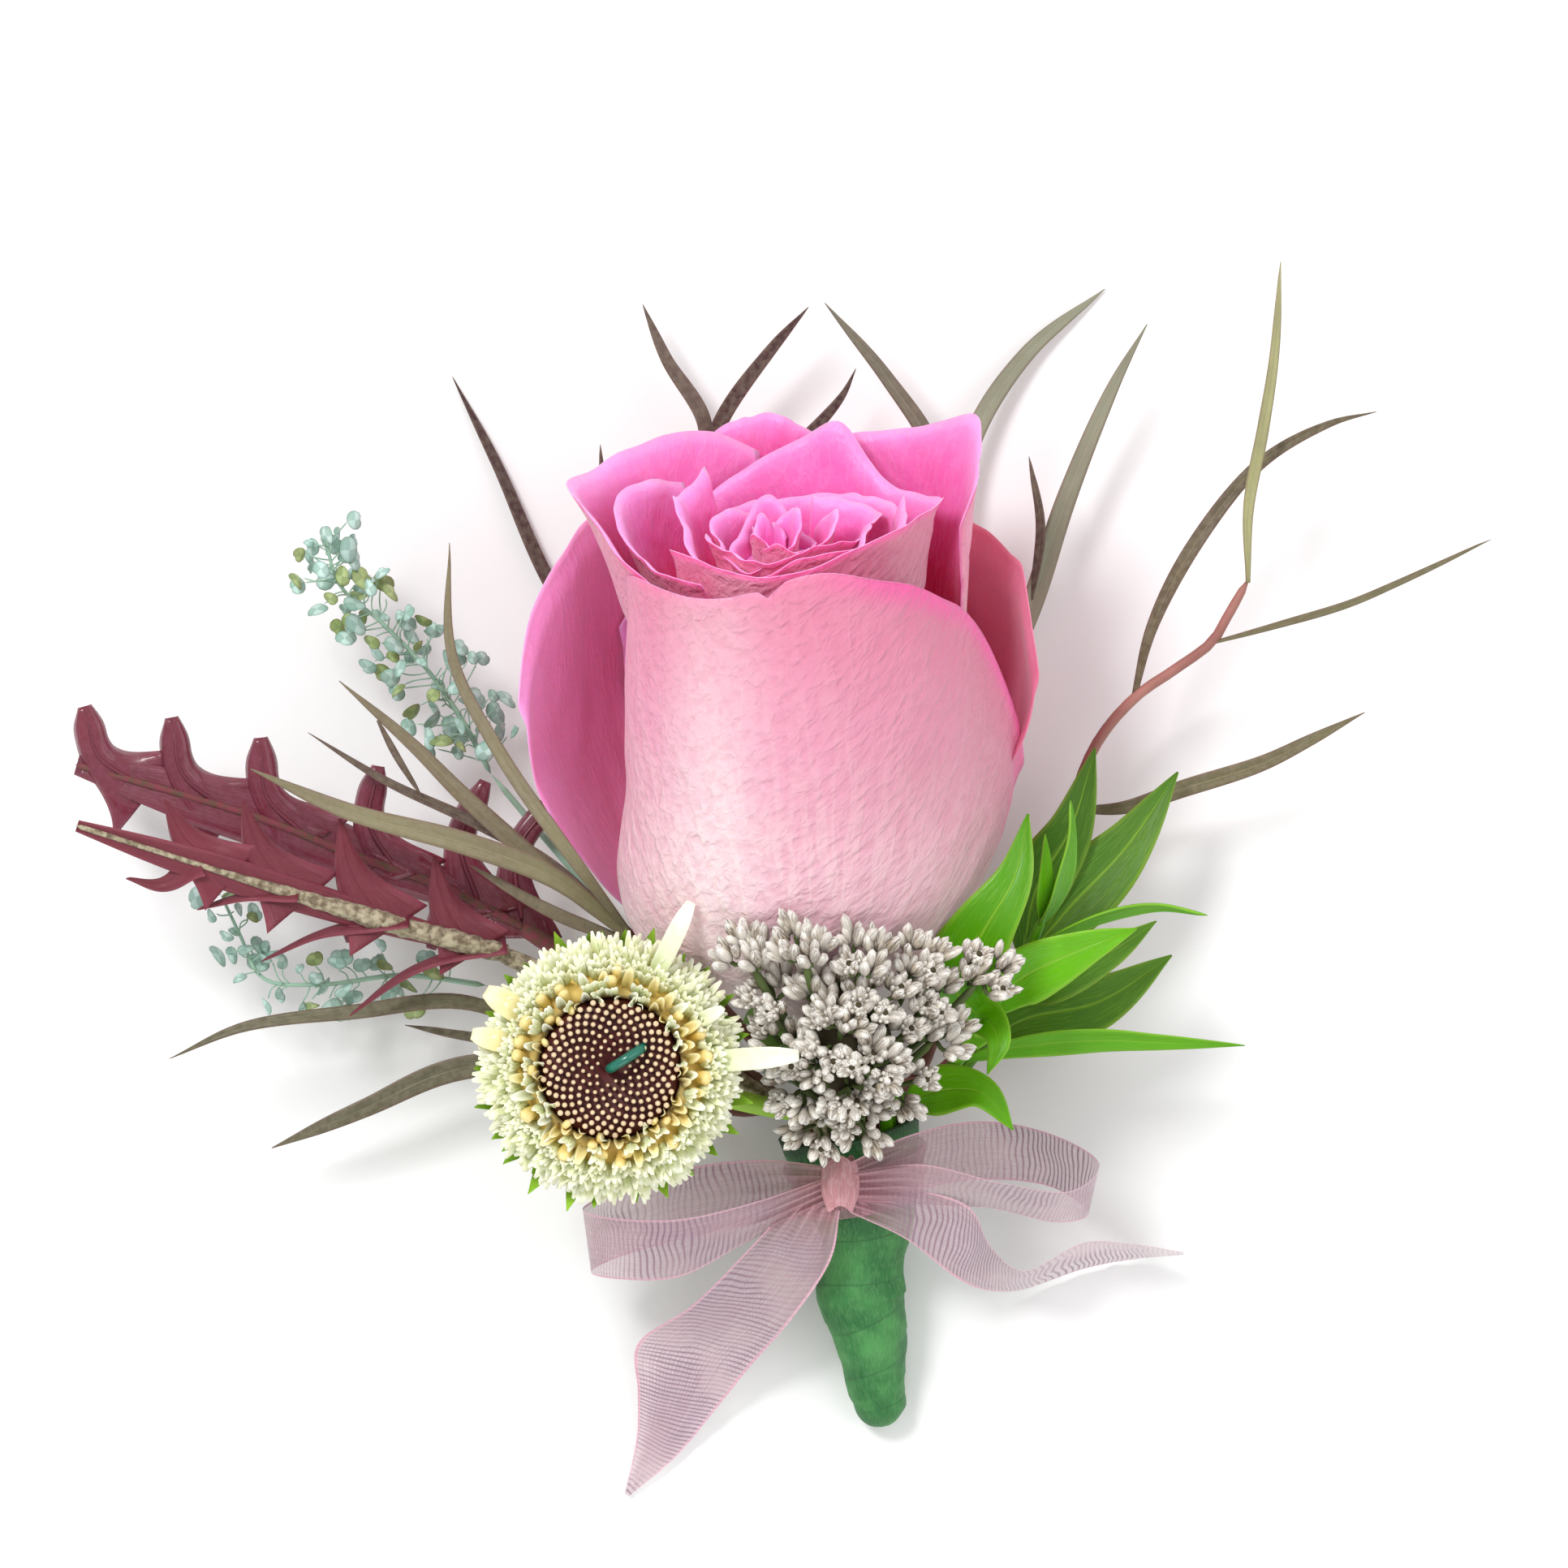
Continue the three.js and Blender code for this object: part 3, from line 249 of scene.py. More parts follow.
class Kit:
    """Gathers the shapes of one piece, each with a UV (x across, y along), a tone and an edge mask."""

    def __init__(self):
        self.batches = []
        self.begin()

    def begin(self):
        self.bm = bmesh.new()
        self.uv = self.bm.loops.layers.uv.new("UVMap")
        self.tone = self.bm.verts.layers.float.new("tone")
        self.edge = self.bm.verts.layers.float.new("edge")
        self.rim = self.bm.verts.layers.float.new("rim")

    def grid(self, across, up, point_at, tone, material=0, edge_at=None):
        """A grid that point_at(u, v) places: u from 0 to 1 along it, v from -1 to 1 across it."""
        if len(self.bm.verts) > BATCH:
            self.batches.append(bpy.data.meshes.new("batch"))
            self.bm.to_mesh(self.batches[-1])
            self.bm.free()
            self.begin()
        made = bmesh.ops.create_grid(self.bm, x_segments=across, y_segments=up, size=0.5)
        verts = made["verts"]
        faces = {face for vert in verts for face in vert.link_faces}
        for face in faces:
            face.smooth = True
            face.material_index = material
            for loop in face.loops:
                loop[self.uv].uv = (loop.vert.co.x + 0.5, loop.vert.co.y + 0.5)
        for vert in verts:
            u, v = vert.co.y + 0.5, 2 * vert.co.x
            vert[self.tone] = tone
            vert[self.edge] = edge_at(u, v) if edge_at else 0.0
            vert[self.rim] = max(ease(20 * u - 19), ease(20 * abs(v) - 19))
            vert.co = point_at(u, v)
        return verts, list(faces)

    def round(self, sides, rows, point_at, tone=0.5, material=0, edge_at=None):
        """A closed skin: point_at(u, angle) places its rows, and its first and last row are poles."""
        verts, faces = self.grid(
            sides, rows, lambda u, v: point_at(u, pi * v), tone, material, edge_at
        )
        bmesh.ops.remove_doubles(self.bm, verts=verts, dist=1e-5)
        faces = [face for face in faces if face.is_valid]
        bmesh.ops.recalc_face_normals(self.bm, faces=faces)

    def tube(self, line, radius_at, sides=8, rows=24, tone=0.5, material=0, rough=0.0):
        """A round stem along a line; radius_at(u) gives its radius."""
        line = line if isinstance(line, Line) else Line(line)
        frames = []
        side = line.tangent(0).orthogonal().normalized()
        for k in range(rows + 1):
            tangent = line.tangent(k / rows)
            side = (side - tangent * side.dot(tangent)).normalized()
            frames.append((line.place(k / rows), side.copy(), tangent.cross(side)))

        def point_at(u, angle):
            k = round(u * rows)
            middle, across, face = frames[k]
            if k in (0, rows):
                return middle
            radius = radius_at(u)
            if rough:
                radius *= 1 + rough * noise.noise(middle * 1.3 + Vector((0, 0, cos(angle))))
            return ringed(middle, across, face, angle, radius)

        self.round(sides, rows, point_at, tone, material)

    def bud(self, root, tip, profile, sides=8, rows=8, tone=0.5, material=0, flat=1.0, spin=0.0):
        """A small closed shape from root to tip; profile lists its radii at even steps."""
        root, tip = Vector(root), Vector(tip)
        axis = tip - root
        turn = axis.to_track_quat("Z", "Y") @ Quaternion((0, 0, 1), spin)

        def point_at(u, angle):
            radius = 0.0 if u in (0.0, 1.0) else smooth(profile, u)
            at = Vector((radius * cos(angle), flat * radius * sin(angle), 0))
            return root + axis * u + turn @ at

        self.round(sides, rows, point_at, tone, material)

    def blade(
        self, rib, width, shape, roll=0.0, fold=0.15, steps=24, across=6, tone=0.5, material=0,
        ripple=0.0, curl=0.0,
    ):
        """A leaf on a curved midrib. roll turns it, fold raises its edges, curl bends them down."""
        line = Line(rib)
        turn = radians(roll)
        phase = width * 7.3 + line.length

        def point_at(u, v):
            tangent = line.tangent(u)
            side = Quaternion(tangent, turn) @ tangent.cross(UP).normalized()
            half = width * max(smooth(SHAPES[shape], u), 0.015) / 2
            lift = half * (fold * abs(v) ** 1.5 - curl * v**4 * ease(2 * u - 0.2))
            lift += ripple * half * v * v * sin(9 * u + phase + 1.5 * v)
            return line.place(u) + side * (v * half) + side.cross(tangent) * lift

        self.grid(across, steps, point_at, tone, material, lambda u, v: ease(abs(v) * 5 - 4))

    def finish(self, name, node, materials, thickness=0.0, inner=0):
        """Makes the object of the piece, in metres, hangs it on the root body and hides the solid of
        the node that it stands for.
        """
        for batch in self.batches:
            self.bm.from_mesh(batch)
            bpy.data.meshes.remove(batch)
        weights = self.bm.verts.layers.deform.verify()
        for vert in self.bm.verts:
            vert.co.z = max(vert.co.z, thickness / MM / 2)
            vert[weights][0] = 1 - RIM_THINNER * vert[self.rim]
        bmesh.ops.scale(self.bm, vec=(MM, MM, MM), verts=self.bm.verts)
        mesh = bpy.data.meshes.new(name)
        self.bm.to_mesh(mesh)
        self.bm.free()
        for material in materials:
            mesh.materials.append(material)
        obj = add_object(name, mesh)
        if thickness:
            obj.vertex_groups.new(name="thickness")
            shell = obj.modifiers.new("Thickness", "SOLIDIFY")
            shell.vertex_group = "thickness"
            shell.thickness = thickness
            shell.offset = 0
            shell.material_offset = inner
            shell.material_offset_rim = inner
        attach(obj, "root")
        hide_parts(node)
        return obj


# Nodes


class Nodes:
    """Adds nodes to a tree. A value may be a plain value or another node's output."""

    def __init__(self, tree):
        self.tree = tree

    def put(self, socket, value):
        """Links a value to a socket or sets it there; a plain colour has three numbers."""
        if isinstance(value, bpy.types.NodeSocket):
            self.tree.links.new(value, socket)
        else:
            socket.default_value = (*value, 1) if socket.type == "RGBA" else value

    def add(self, kind, values, **settings):
        node = self.tree.nodes.new("ShaderNode" + kind)
        for key, value in settings.items():
            setattr(node, key, value)
        for key, value in values.items():
            self.put(node.inputs[key], value)
        return node

    def math(self, operation, value, *others):
        """One operation on a value, in turn with each of the others."""
        for other in others or (0,):
            value = self.add("Math", {0: value, 1: other}, operation=operation).outputs[0]
        return value

    def times(self, *values):
        return self.math("MULTIPLY", *values)

    def off(self, value, middle):
        """How far a value is from a middle."""
        return self.math("ABSOLUTE", self.math("SUBTRACT", value, middle))

    def span(self, value, low, high, to_low=0, to_high=1):
        """Maps a value from one range to another, and holds it inside."""
        values = {"Value": value, "From Min": low, "From Max": high}
        values.update({"To Min": to_low, "To Max": to_high})
        return self.add("MapRange", values, interpolation_type="SMOOTHSTEP").outputs["Result"]

    def mix(self, share, a, b, blend="MIX"):
        node = self.add("Mix", {0: share, 6: a, 7: b}, data_type="RGBA", blend_type=blend)
        return node.outputs[2]

    def layers(self, value, *layers):
        """Lays colours over one another. Each layer is its mask, its share of that and its colour."""
        for mask, share, over in layers:
            value = self.mix(self.times(mask, share), value, over)
        return value

    def uv(self):
        """The two parts of the UV: across and along."""
        place = self.add("UVMap", {}, uv_map="UVMap").outputs["UV"]
        return self.add("SeparateXYZ", {0: place}).outputs[:2]

    def place(self):
        return self.add("TexCoord", {}).outputs["Object"]

    def mask(self, name):
        """A number that each shape or vertex of the mesh carries."""
        return self.add("Attribute", {}, attribute_name=name).outputs["Fac"]

    def noise(self, place, scale, detail, roughness=0.5, distortion=0):
        values = {"Vector": place, "Scale": scale, "Detail": detail}
        values.update({"Roughness": roughness, "Distortion": distortion})
        return self.add("TexNoise", values).outputs["Fac"]

    def group(self, name, *values):
        """The outputs of a shared group, which is made the first time that it is needed."""
        tree = bpy.data.node_groups.get(name) or new_group(name)
        return self.add("Group", dict(enumerate(values)), node_tree=tree).outputs


def fibres(nodes, count_across, count_along, spread):
    """Fine lines that run along the UV: veins of a petal, fibres of a leaf, wrinkles of tape."""
    across, up = nodes.uv()
    x = nodes.times(nodes.math("SUBTRACT", across, 0.5), count_across)
    fan = nodes.math("ADD", 1, nodes.times(up, spread))
    own = nodes.times(nodes.mask("tone"), 9)  # so that no two shapes have the same lines
    values = {0: nodes.math("DIVIDE", x, fan), 1: nodes.times(up, count_along), 2: own}
    field = nodes.noise(nodes.add("CombineXYZ", values).outputs[0], 1, 3, 0.55)
    return [nodes.span(nodes.off(field, 0.5), 0, 0.07, 1, 0)]


def mottle(nodes, blotch_scale, grain_scale):
    """Soft blotches and fine grain in the object's own coordinates."""
    place = nodes.place()
    fields = nodes.noise(place, blotch_scale, 3, 0.55), nodes.noise(place, grain_scale, 2, 0.55)
    return [nodes.span(field, 0.3, 0.7) for field in fields]


def leather(nodes, scale, stretch):
    """Short slanting wrinkles, as on the back of a thick petal."""
    slant = nodes.add("Mapping", {"Vector": nodes.place(), "Rotation": (0, 0, radians(40))})
    squeeze = nodes.add("CombineXYZ", {0: 1, 1: stretch, 2: 1})
    values = {0: slant.outputs[0], 1: squeeze.outputs[0]}
    stretched = nodes.add("VectorMath", values, operation="MULTIPLY").outputs[0]
    return [nodes.noise(stretched, scale, 2, 0.5, 0.4)]


def weave(nodes, count_across, count_along):
    """Crossed threads of the ribbon: strong ones across it, finer ones along it, and a selvage."""
    across, up = nodes.uv()
    place = nodes.place()
    up = nodes.math("ADD", up, nodes.times(nodes.noise(place, 160, 1), 0.04))
    threads = []
    for value, count, share in ((across, count_across, 0.55), (up, count_along, 1)):
        wave = nodes.math("SINE", nodes.times(value, nodes.times(count, tau)))
        threads.append(nodes.span(wave, -0.1, 0.9, 0, share))
    uneven = nodes.span(nodes.noise(place, 90, 2), 0.36, 0.56, 0.45, 1)
    selvage = nodes.span(nodes.off(across, 0.5), 0.46, 0.475)
    return [nodes.times(nodes.math("MAXIMUM", *threads), uneven), selvage]


# The shared groups: how each is filled, its inputs and its outputs
GROUPS = {
    "Fibres": (fibres, {"Across": 60, "Along": 3, "Spread": 0.4}, ["Mask"]),
    "Mottle": (mottle, {"Blotch scale": 120, "Grain scale": 1500}, ["Blotch", "Grain"]),
    "Leather": (leather, {"Scale": 1050, "Stretch": 0.4}, ["Height"]),
    "Weave": (weave, {"Threads across": 28, "Threads along": 108}, ["Threads", "Selvage"]),
}


def new_group(name):
    """Makes a shared group with float sockets."""
    fill, inputs, outputs = GROUPS[name]
    tree = bpy.data.node_groups.new(name, "ShaderNodeTree")
    for label, default in inputs.items():
        socket = tree.interface.new_socket(name=label, in_out="INPUT", socket_type="NodeSocketFloat")
        socket.default_value = default
    for label in outputs:
        tree.interface.new_socket(name=label, in_out="OUTPUT", socket_type="NodeSocketFloat")
    given = tree.nodes.new("NodeGroupInput").outputs[: len(inputs)]
    result = tree.nodes.new("NodeGroupOutput").inputs
    for label, value in zip(outputs, fill(Nodes(tree), *given)):
        tree.links.new(value, result[label])
    return tree


# Materials


class Material(Nodes):
    """A material with a Principled shader whose constants are set on its own sockets."""

    def __init__(self, name, roughness, **constants):
        self.material = bpy.data.materials.new(name)
        self.material.use_nodes = True
        super().__init__(self.material.node_tree)
        self.shader = self.tree.nodes["Principled BSDF"].inputs
        for key, value in {"Roughness": roughness, **constants}.items():
            self.shader[key.replace("_", " ")].default_value = value

    def done(self, value, height, strength, distance):
        """Ties the colour and the bump to the shader, and gives the material."""
        values = {"Height": height, "Strength": strength, "Distance": distance}
        self.put(self.shader["Base Color"], value)
        self.put(self.shader["Normal"], self.add("Bump", values).outputs["Normal"])
        return self.material


def plain_material(name, base, dark, roughness, blotch=140, depth=0.5, **constants):
    """One colour with darker blotches; each shape's tone lightens or darkens it."""
    mat = Material(name, roughness, **constants)
    spots = mat.group("Mottle", blotch)
    value = mat.layers(base, (spots["Blotch"], depth, dark))
    lit = mat.mix(mat.times(mat.mask("tone"), 0.35), value, (1, 1, 1), "SOFT_LIGHT")
    return mat.done(lit, spots["Grain"], 0.3, 0.00005)


def leaf_material(name, base, dark, rim, vein, roughness, dusty=None, rim_share=0.5, **constants):
    """A leaf: dark to base by its tone, in blotches, with fine lengthwise veins, a midrib and a rim."""
    mat = Material(name, roughness, Subsurface_Weight=0.06, Subsurface_Scale=0.001, **constants)
    spots = mat.group("Mottle", 110)
    lines = mat.group("Fibres", 22, 3, 0)["Mask"]
    midrib = mat.span(mat.off(mat.uv()[0], 0.5), 0, 0.04, 1, 0)
    value = mat.layers(mat.mix(mat.mask("tone"), dark, base), (spots["Blotch"], 0.3, dark))
    if dusty:
        value = mat.layers(value, (spots["Grain"], 0.3, dusty))
    value = mat.layers(
        value, (lines, 0.16, vein), (midrib, 0.5, vein), (mat.mask("edge"), rim_share, rim)
    )
    raised = mat.math("SUBTRACT", mat.times(lines, 0.3), midrib)
    return mat.done(value, raised, 0.5, 0.00015)


def petal_outside():
    """Outer face of the rose's petals: pale with a cream foot and fine veins, magenta at the rim."""
    look = colours()
    mat = Material(
        "rose_petal_outside", 0.48, Subsurface_Weight=0.1, Subsurface_Scale=0.002, Sheen_Weight=0.15
    )
    across, up = mat.uv()
    tone = mat.mask("tone")
    hide = mat.group("Leather")["Height"]
    veins = mat.group("Fibres", 46, 2, 3)["Mask"]
    fine = mat.times(veins, mat.span(up, 0.2, 0.85, 0.3, 0.04), mat.span(across, 0.3, 0.8, 1, 0.3))
    foot = mat.times(mat.span(up, 0.1, 0.7, 1, 0), mat.span(tone, 0.2, 0.8, 0.3, 1))
    stripe = mat.span(mat.off(across, 0.3), 0, 0.16, 0.7, 0)
    value = mat.layers(
        mat.mix(tone, rgb(238, 84, 146), look.rose_outside),
        # right side of the petal darker: painted shade, as the light falls from the left
        (mat.times(mat.span(across, 0.3, 0.8), tone), 0.75, rgb(202, 128, 148)),
        (mat.times(mat.span(up, 0.6, 1), tone), 0.55, rgb(214, 92, 136)),
        (mat.group("Mottle", 75)["Blotch"], 0.3, rgb(226, 146, 174)),
        (foot, 0.7, look.rose_base),
        (mat.times(stripe, mat.span(up, 0.4, 1, 1, 0.4)), tone, rgb(246, 224, 226)),
        (fine, 1, rgb(254, 236, 226)),
        # darker in the valleys of the leather wrinkles: painted shade
        (mat.span(hide, 0.55, 0.35), 0.16, rgb(200, 110, 136)),
        (mat.mask("edge"), 0.9, look.rose_rim),
    )
    return mat.done(value, mat.math("ADD", mat.times(veins, 0.08), hide), 0.8, 0.0006)


def petal_inside():
    """Inner face of the rose's petals: deep pink at the foot, partly painted shade, lilac pink near the
    rim.
    """
    mat = Material(
        "rose_petal_inside", 0.45, Subsurface_Weight=0.35, Subsurface_Scale=0.002, Sheen_Weight=0.2
    )
    up = mat.uv()[1]
    tone = mat.mask("tone")
    spots = mat.group("Mottle", 90, 1100)
    veins = mat.group("Fibres", 40, 4, 1.2)["Mask"]
    # dusty pink for a petal whose inner face lies in shade: painted shade
    dusty = mat.layers(rgb(232, 134, 168), (spots["Blotch"], 0.5, rgb(206, 102, 138)))
    value = mat.layers(
        # deeper pink towards the foot: the petal's own colour, deepened as painted shade in the
        # crevices
        mat.mix(mat.span(up, 0.2, 0.7), rgb(232, 30, 102), colours().rose_inside),
        (mat.span(up, 0.7, 1), 0.6, rgb(250, 168, 238)),
        (spots["Blotch"], 0.35, rgb(246, 74, 156)),
        (veins, 0.14, rgb(255, 170, 220)),
        # lighter line along the edge: painted highlight
        (mat.mask("edge"), 0.35, rgb(255, 186, 228)),
        # tone 0: the whole inner face in the dusty pink of painted shade
        (mat.span(tone, 0, 0.15, 1, 0), 1, dusty),
        # tone above 1: the inner face painted lighter, painted light against the shade near the bud
        (mat.span(tone, 1.1, 1.4), mat.span(up, 0.3, 0.95, 0.8, 0.35), rgb(255, 178, 228)),
    )
    return mat.done(value, mat.math("ADD", veins, spots["Grain"]), 0.25, 0.0001)


def bud_material(name, foot, body, tip, roughness, streaks=0):
    """A bud or floret coloured from its foot to its tip, with its own tone and lengthwise streaks."""
    mat = Material(name, roughness)
    up = mat.uv()[1]
    spots = mat.group("Mottle", 900, 3000)
    value = mat.layers(mat.mix(mat.span(up, 0.05, 0.5), foot, body), (mat.span(up, 0.6, 0.95), 1, tip))
    value = mat.layers(value, (spots["Blotch"], 0.35, foot))
    if streaks:
        value = mat.layers(value, (mat.group("Fibres", 7, 0.8, 0)["Mask"], streaks, foot))
    value = mat.layers(value, (mat.mask("tone"), 0.45, tip))
    return mat.done(value, spots["Grain"], 0.3, 0.00005)


def pod_material(name, body, light, rim):
    """A papery pod: lighter patches, a darker rim and a fine seam across its middle."""
    mat = Material(name, 0.5, Subsurface_Weight=0.1, Subsurface_Scale=0.0006)
    blotch = mat.group("Mottle", 500)["Blotch"]
    seam = mat.span(mat.math("FRACT", mat.times(mat.uv()[0], 2)), 0.42, 0.5)
    value = mat.layers(
        body, (blotch, 0.8, light), (mat.mask("tone"), 0.3, rim), (seam, 0.4, rim),
        (mat.mask("edge"), 0.75, rim),
    )
    return mat.done(value, blotch, 0.3, 0.0001)


def tape_material():
    """Waxed crepe tape: lighter blotches, wrinkles and the dark line of each lap."""
    mat = Material("floral_tape", 0.55)
    across, up = mat.uv()
    blotch = mat.group("Mottle", 210)["Blotch"]
    crepe = mat.group("Fibres", 60, 14, 0)["Mask"]
    lap = mat.math("FRACT", mat.math("ADD", mat.times(up, TAPE_TURNS), across))
    value = mat.layers(
        colours().tape,
        (blotch, 0.7, rgb(84, 158, 84)),
        (crepe, 0.15, rgb(130, 194, 122)),
        (mat.span(lap, 0.93, 1), 0.5, rgb(18, 72, 38)),
        # dark inside the handle's mouth and just outside it: painted shade in the hollow
        (mat.span(up, 0.03, 0.09, 0.9, 0), 1, rgb(16, 44, 24)),
    )
    relief = mat.math("ADD", mat.times(lap, 0.7), crepe, mat.times(blotch, 1.5))
    return mat.done(value, relief, 0.4, 0.0003)


def organza_material():
    """Sheer ribbon: threads woven over a see-through ground, which closes at the knot."""
    mat = Material("organza", 0.35, Sheen_Weight=0.5, Sheen_Roughness=0.3)
    threads, selvage = mat.group("Weave")
    knot = mat.math("MAXIMUM", mat.mask("tone"), mat.times(mat.mask("edge"), 0.7))
    threads = mat.times(threads, mat.math("SUBTRACT", 1, knot))
    value = mat.layers(
        colours().ribbon,
        (mat.group("Mottle", 90)["Blotch"], 0.5, rgb(206, 180, 206)),
        (knot, 1, rgb(206, 138, 140)),
        # light streaks along the ribbon: painted sheen
        (mat.group("Fibres", 30, 3, 0)["Mask"], 0.35, rgb(244, 214, 226)),
        (threads, 0.66, rgb(98, 68, 86)),
        (selvage, 0.6, rgb(232, 180, 196)),
    )
    cover = mat.math("MAXIMUM", mat.span(threads, 0, 1, 0.48, 0.96), selvage, knot)
    mat.put(mat.shader["Alpha"], cover)
    return mat.done(value, threads, 0.5, 0.0001)


# Handle and stems

HANDLE = Line([
    (4.8, -31.2, 9), (5.8, -36, 8), (6.5, -40, 7.1), (6.4, -44, 6.2), (6.1, -47.6, 5.4),
    (6.9, -51, 4.6), (7.4, -55, 3.2), (7.9, -58.5, 2.1), (8.2, -61, 1.8),
])
HANDLE_RADII = [7, 5.9, 5, 4, 4.4, 3.7, 3.1, 2.5, 0.9]
HANDLE_ROWS = 130
MOUTH_FOLD = [(4.6, 0.0), (4.6, 4.6), (2.0, 5.0), (0.2, 5.6), (-0.1, 6.5)]  # depth and radius
ROUND_FROM = 0.86  # the handle's end is round from this share of its line
TAPE_TURNS = 7
STEM_R = 0.55
STEM_RING_R = 4.2

MOUTH = HANDLE.points[0]
HANDLE_AXIS = (HANDLE.points[1] - MOUTH).normalized()
MOUTH_RIGHT = UP.cross(HANDLE_AXIS).normalized()
MOUTH_UP = HANDLE_AXIS.cross(MOUTH_RIGHT)


def in_mouth(bearing, depth=0.0, radius=STEM_RING_R):
    """Where a stem stands in the handle's mouth: degrees from the right, towards the viewer."""
    spot = ringed(MOUTH, MOUTH_RIGHT, MOUTH_UP, radians(bearing), radius)
    return spot + HANDLE_AXIS * depth


def route(bearing, points):
    """A stem's line: inside the mouth, out of it, and on through the points."""
    return Line([in_mouth(bearing, 4), in_mouth(bearing), in_mouth(bearing, -2.4, 5), *points])


def taper(start, end):
    return lambda u: lerp(start, end, u)


def build_handle():
    """The taped handle, with its open mouth folded inwards."""
    kit = Kit()
    fold = len(MOUTH_FOLD)

    def point_at(u, angle):
        x = u * (HANDLE_ROWS + fold)
        if x < fold:
            depth, radius = MOUTH_FOLD[int(x)]
            tangent, middle = HANDLE_AXIS, MOUTH + HANDLE_AXIS * depth
        else:
            t = (x - fold) / HANDLE_ROWS
            middle = HANDLE.at(t)
            tangent = (HANDLE.at(t + 0.01) - HANDLE.at(t - 0.01)).normalized()
            radius = smooth(HANDLE_RADII, min(t, ROUND_FROM))
            around = Vector((cos(angle), sin(angle), 0))
            radius *= 1 + 0.025 * ((t * TAPE_TURNS + angle / tau) % 1)
            radius += 0.2 * noise.noise(around * 1.8 + UP * t * 14)
            radius += 0.05 * noise.noise(around * 6 + UP * t * 50)
            if t > ROUND_FROM:
                share = (t - ROUND_FROM) / (1 - ROUND_FROM)
                radius *= sqrt(max(1 - share * share, 0))
        side = tangent.cross(UP).normalized()
        return ringed(middle, side, side.cross(tangent), angle, radius)

    kit.round(48, HANDLE_ROWS + fold, point_at)
    kit.finish("tape_handle", "stem_wrap", [tape_material()])


# Rose

ROSE_BASE = Vector((0.6, -19.2, 12.4))
ROSE_TOP = Vector((-2, 31.2, 36.9))
ROSE_AXIS = (ROSE_TOP - ROSE_BASE).normalized()
ROSE_FRONT = (UP - ROSE_AXIS * UP.dot(ROSE_AXIS)).normalized()
ROSE_RIGHT = ROSE_AXIS.cross(ROSE_FRONT)
BUD_HEIGHT = 56
STAND_FROM, STAND_OVER = 3, 28  # where an outer petal begins to leave the bud, and over how much
BIG_PETAL, SMALL_PETAL = (56, 60), (48, 18)  # steps across and up
BUD_RADII = [3.2, 11, 15, 16.9, 17.6, 17.7, 17.4, 17, 17]
SWELL_FULL_AT = 10
ROSE_STEM_R = 1.8
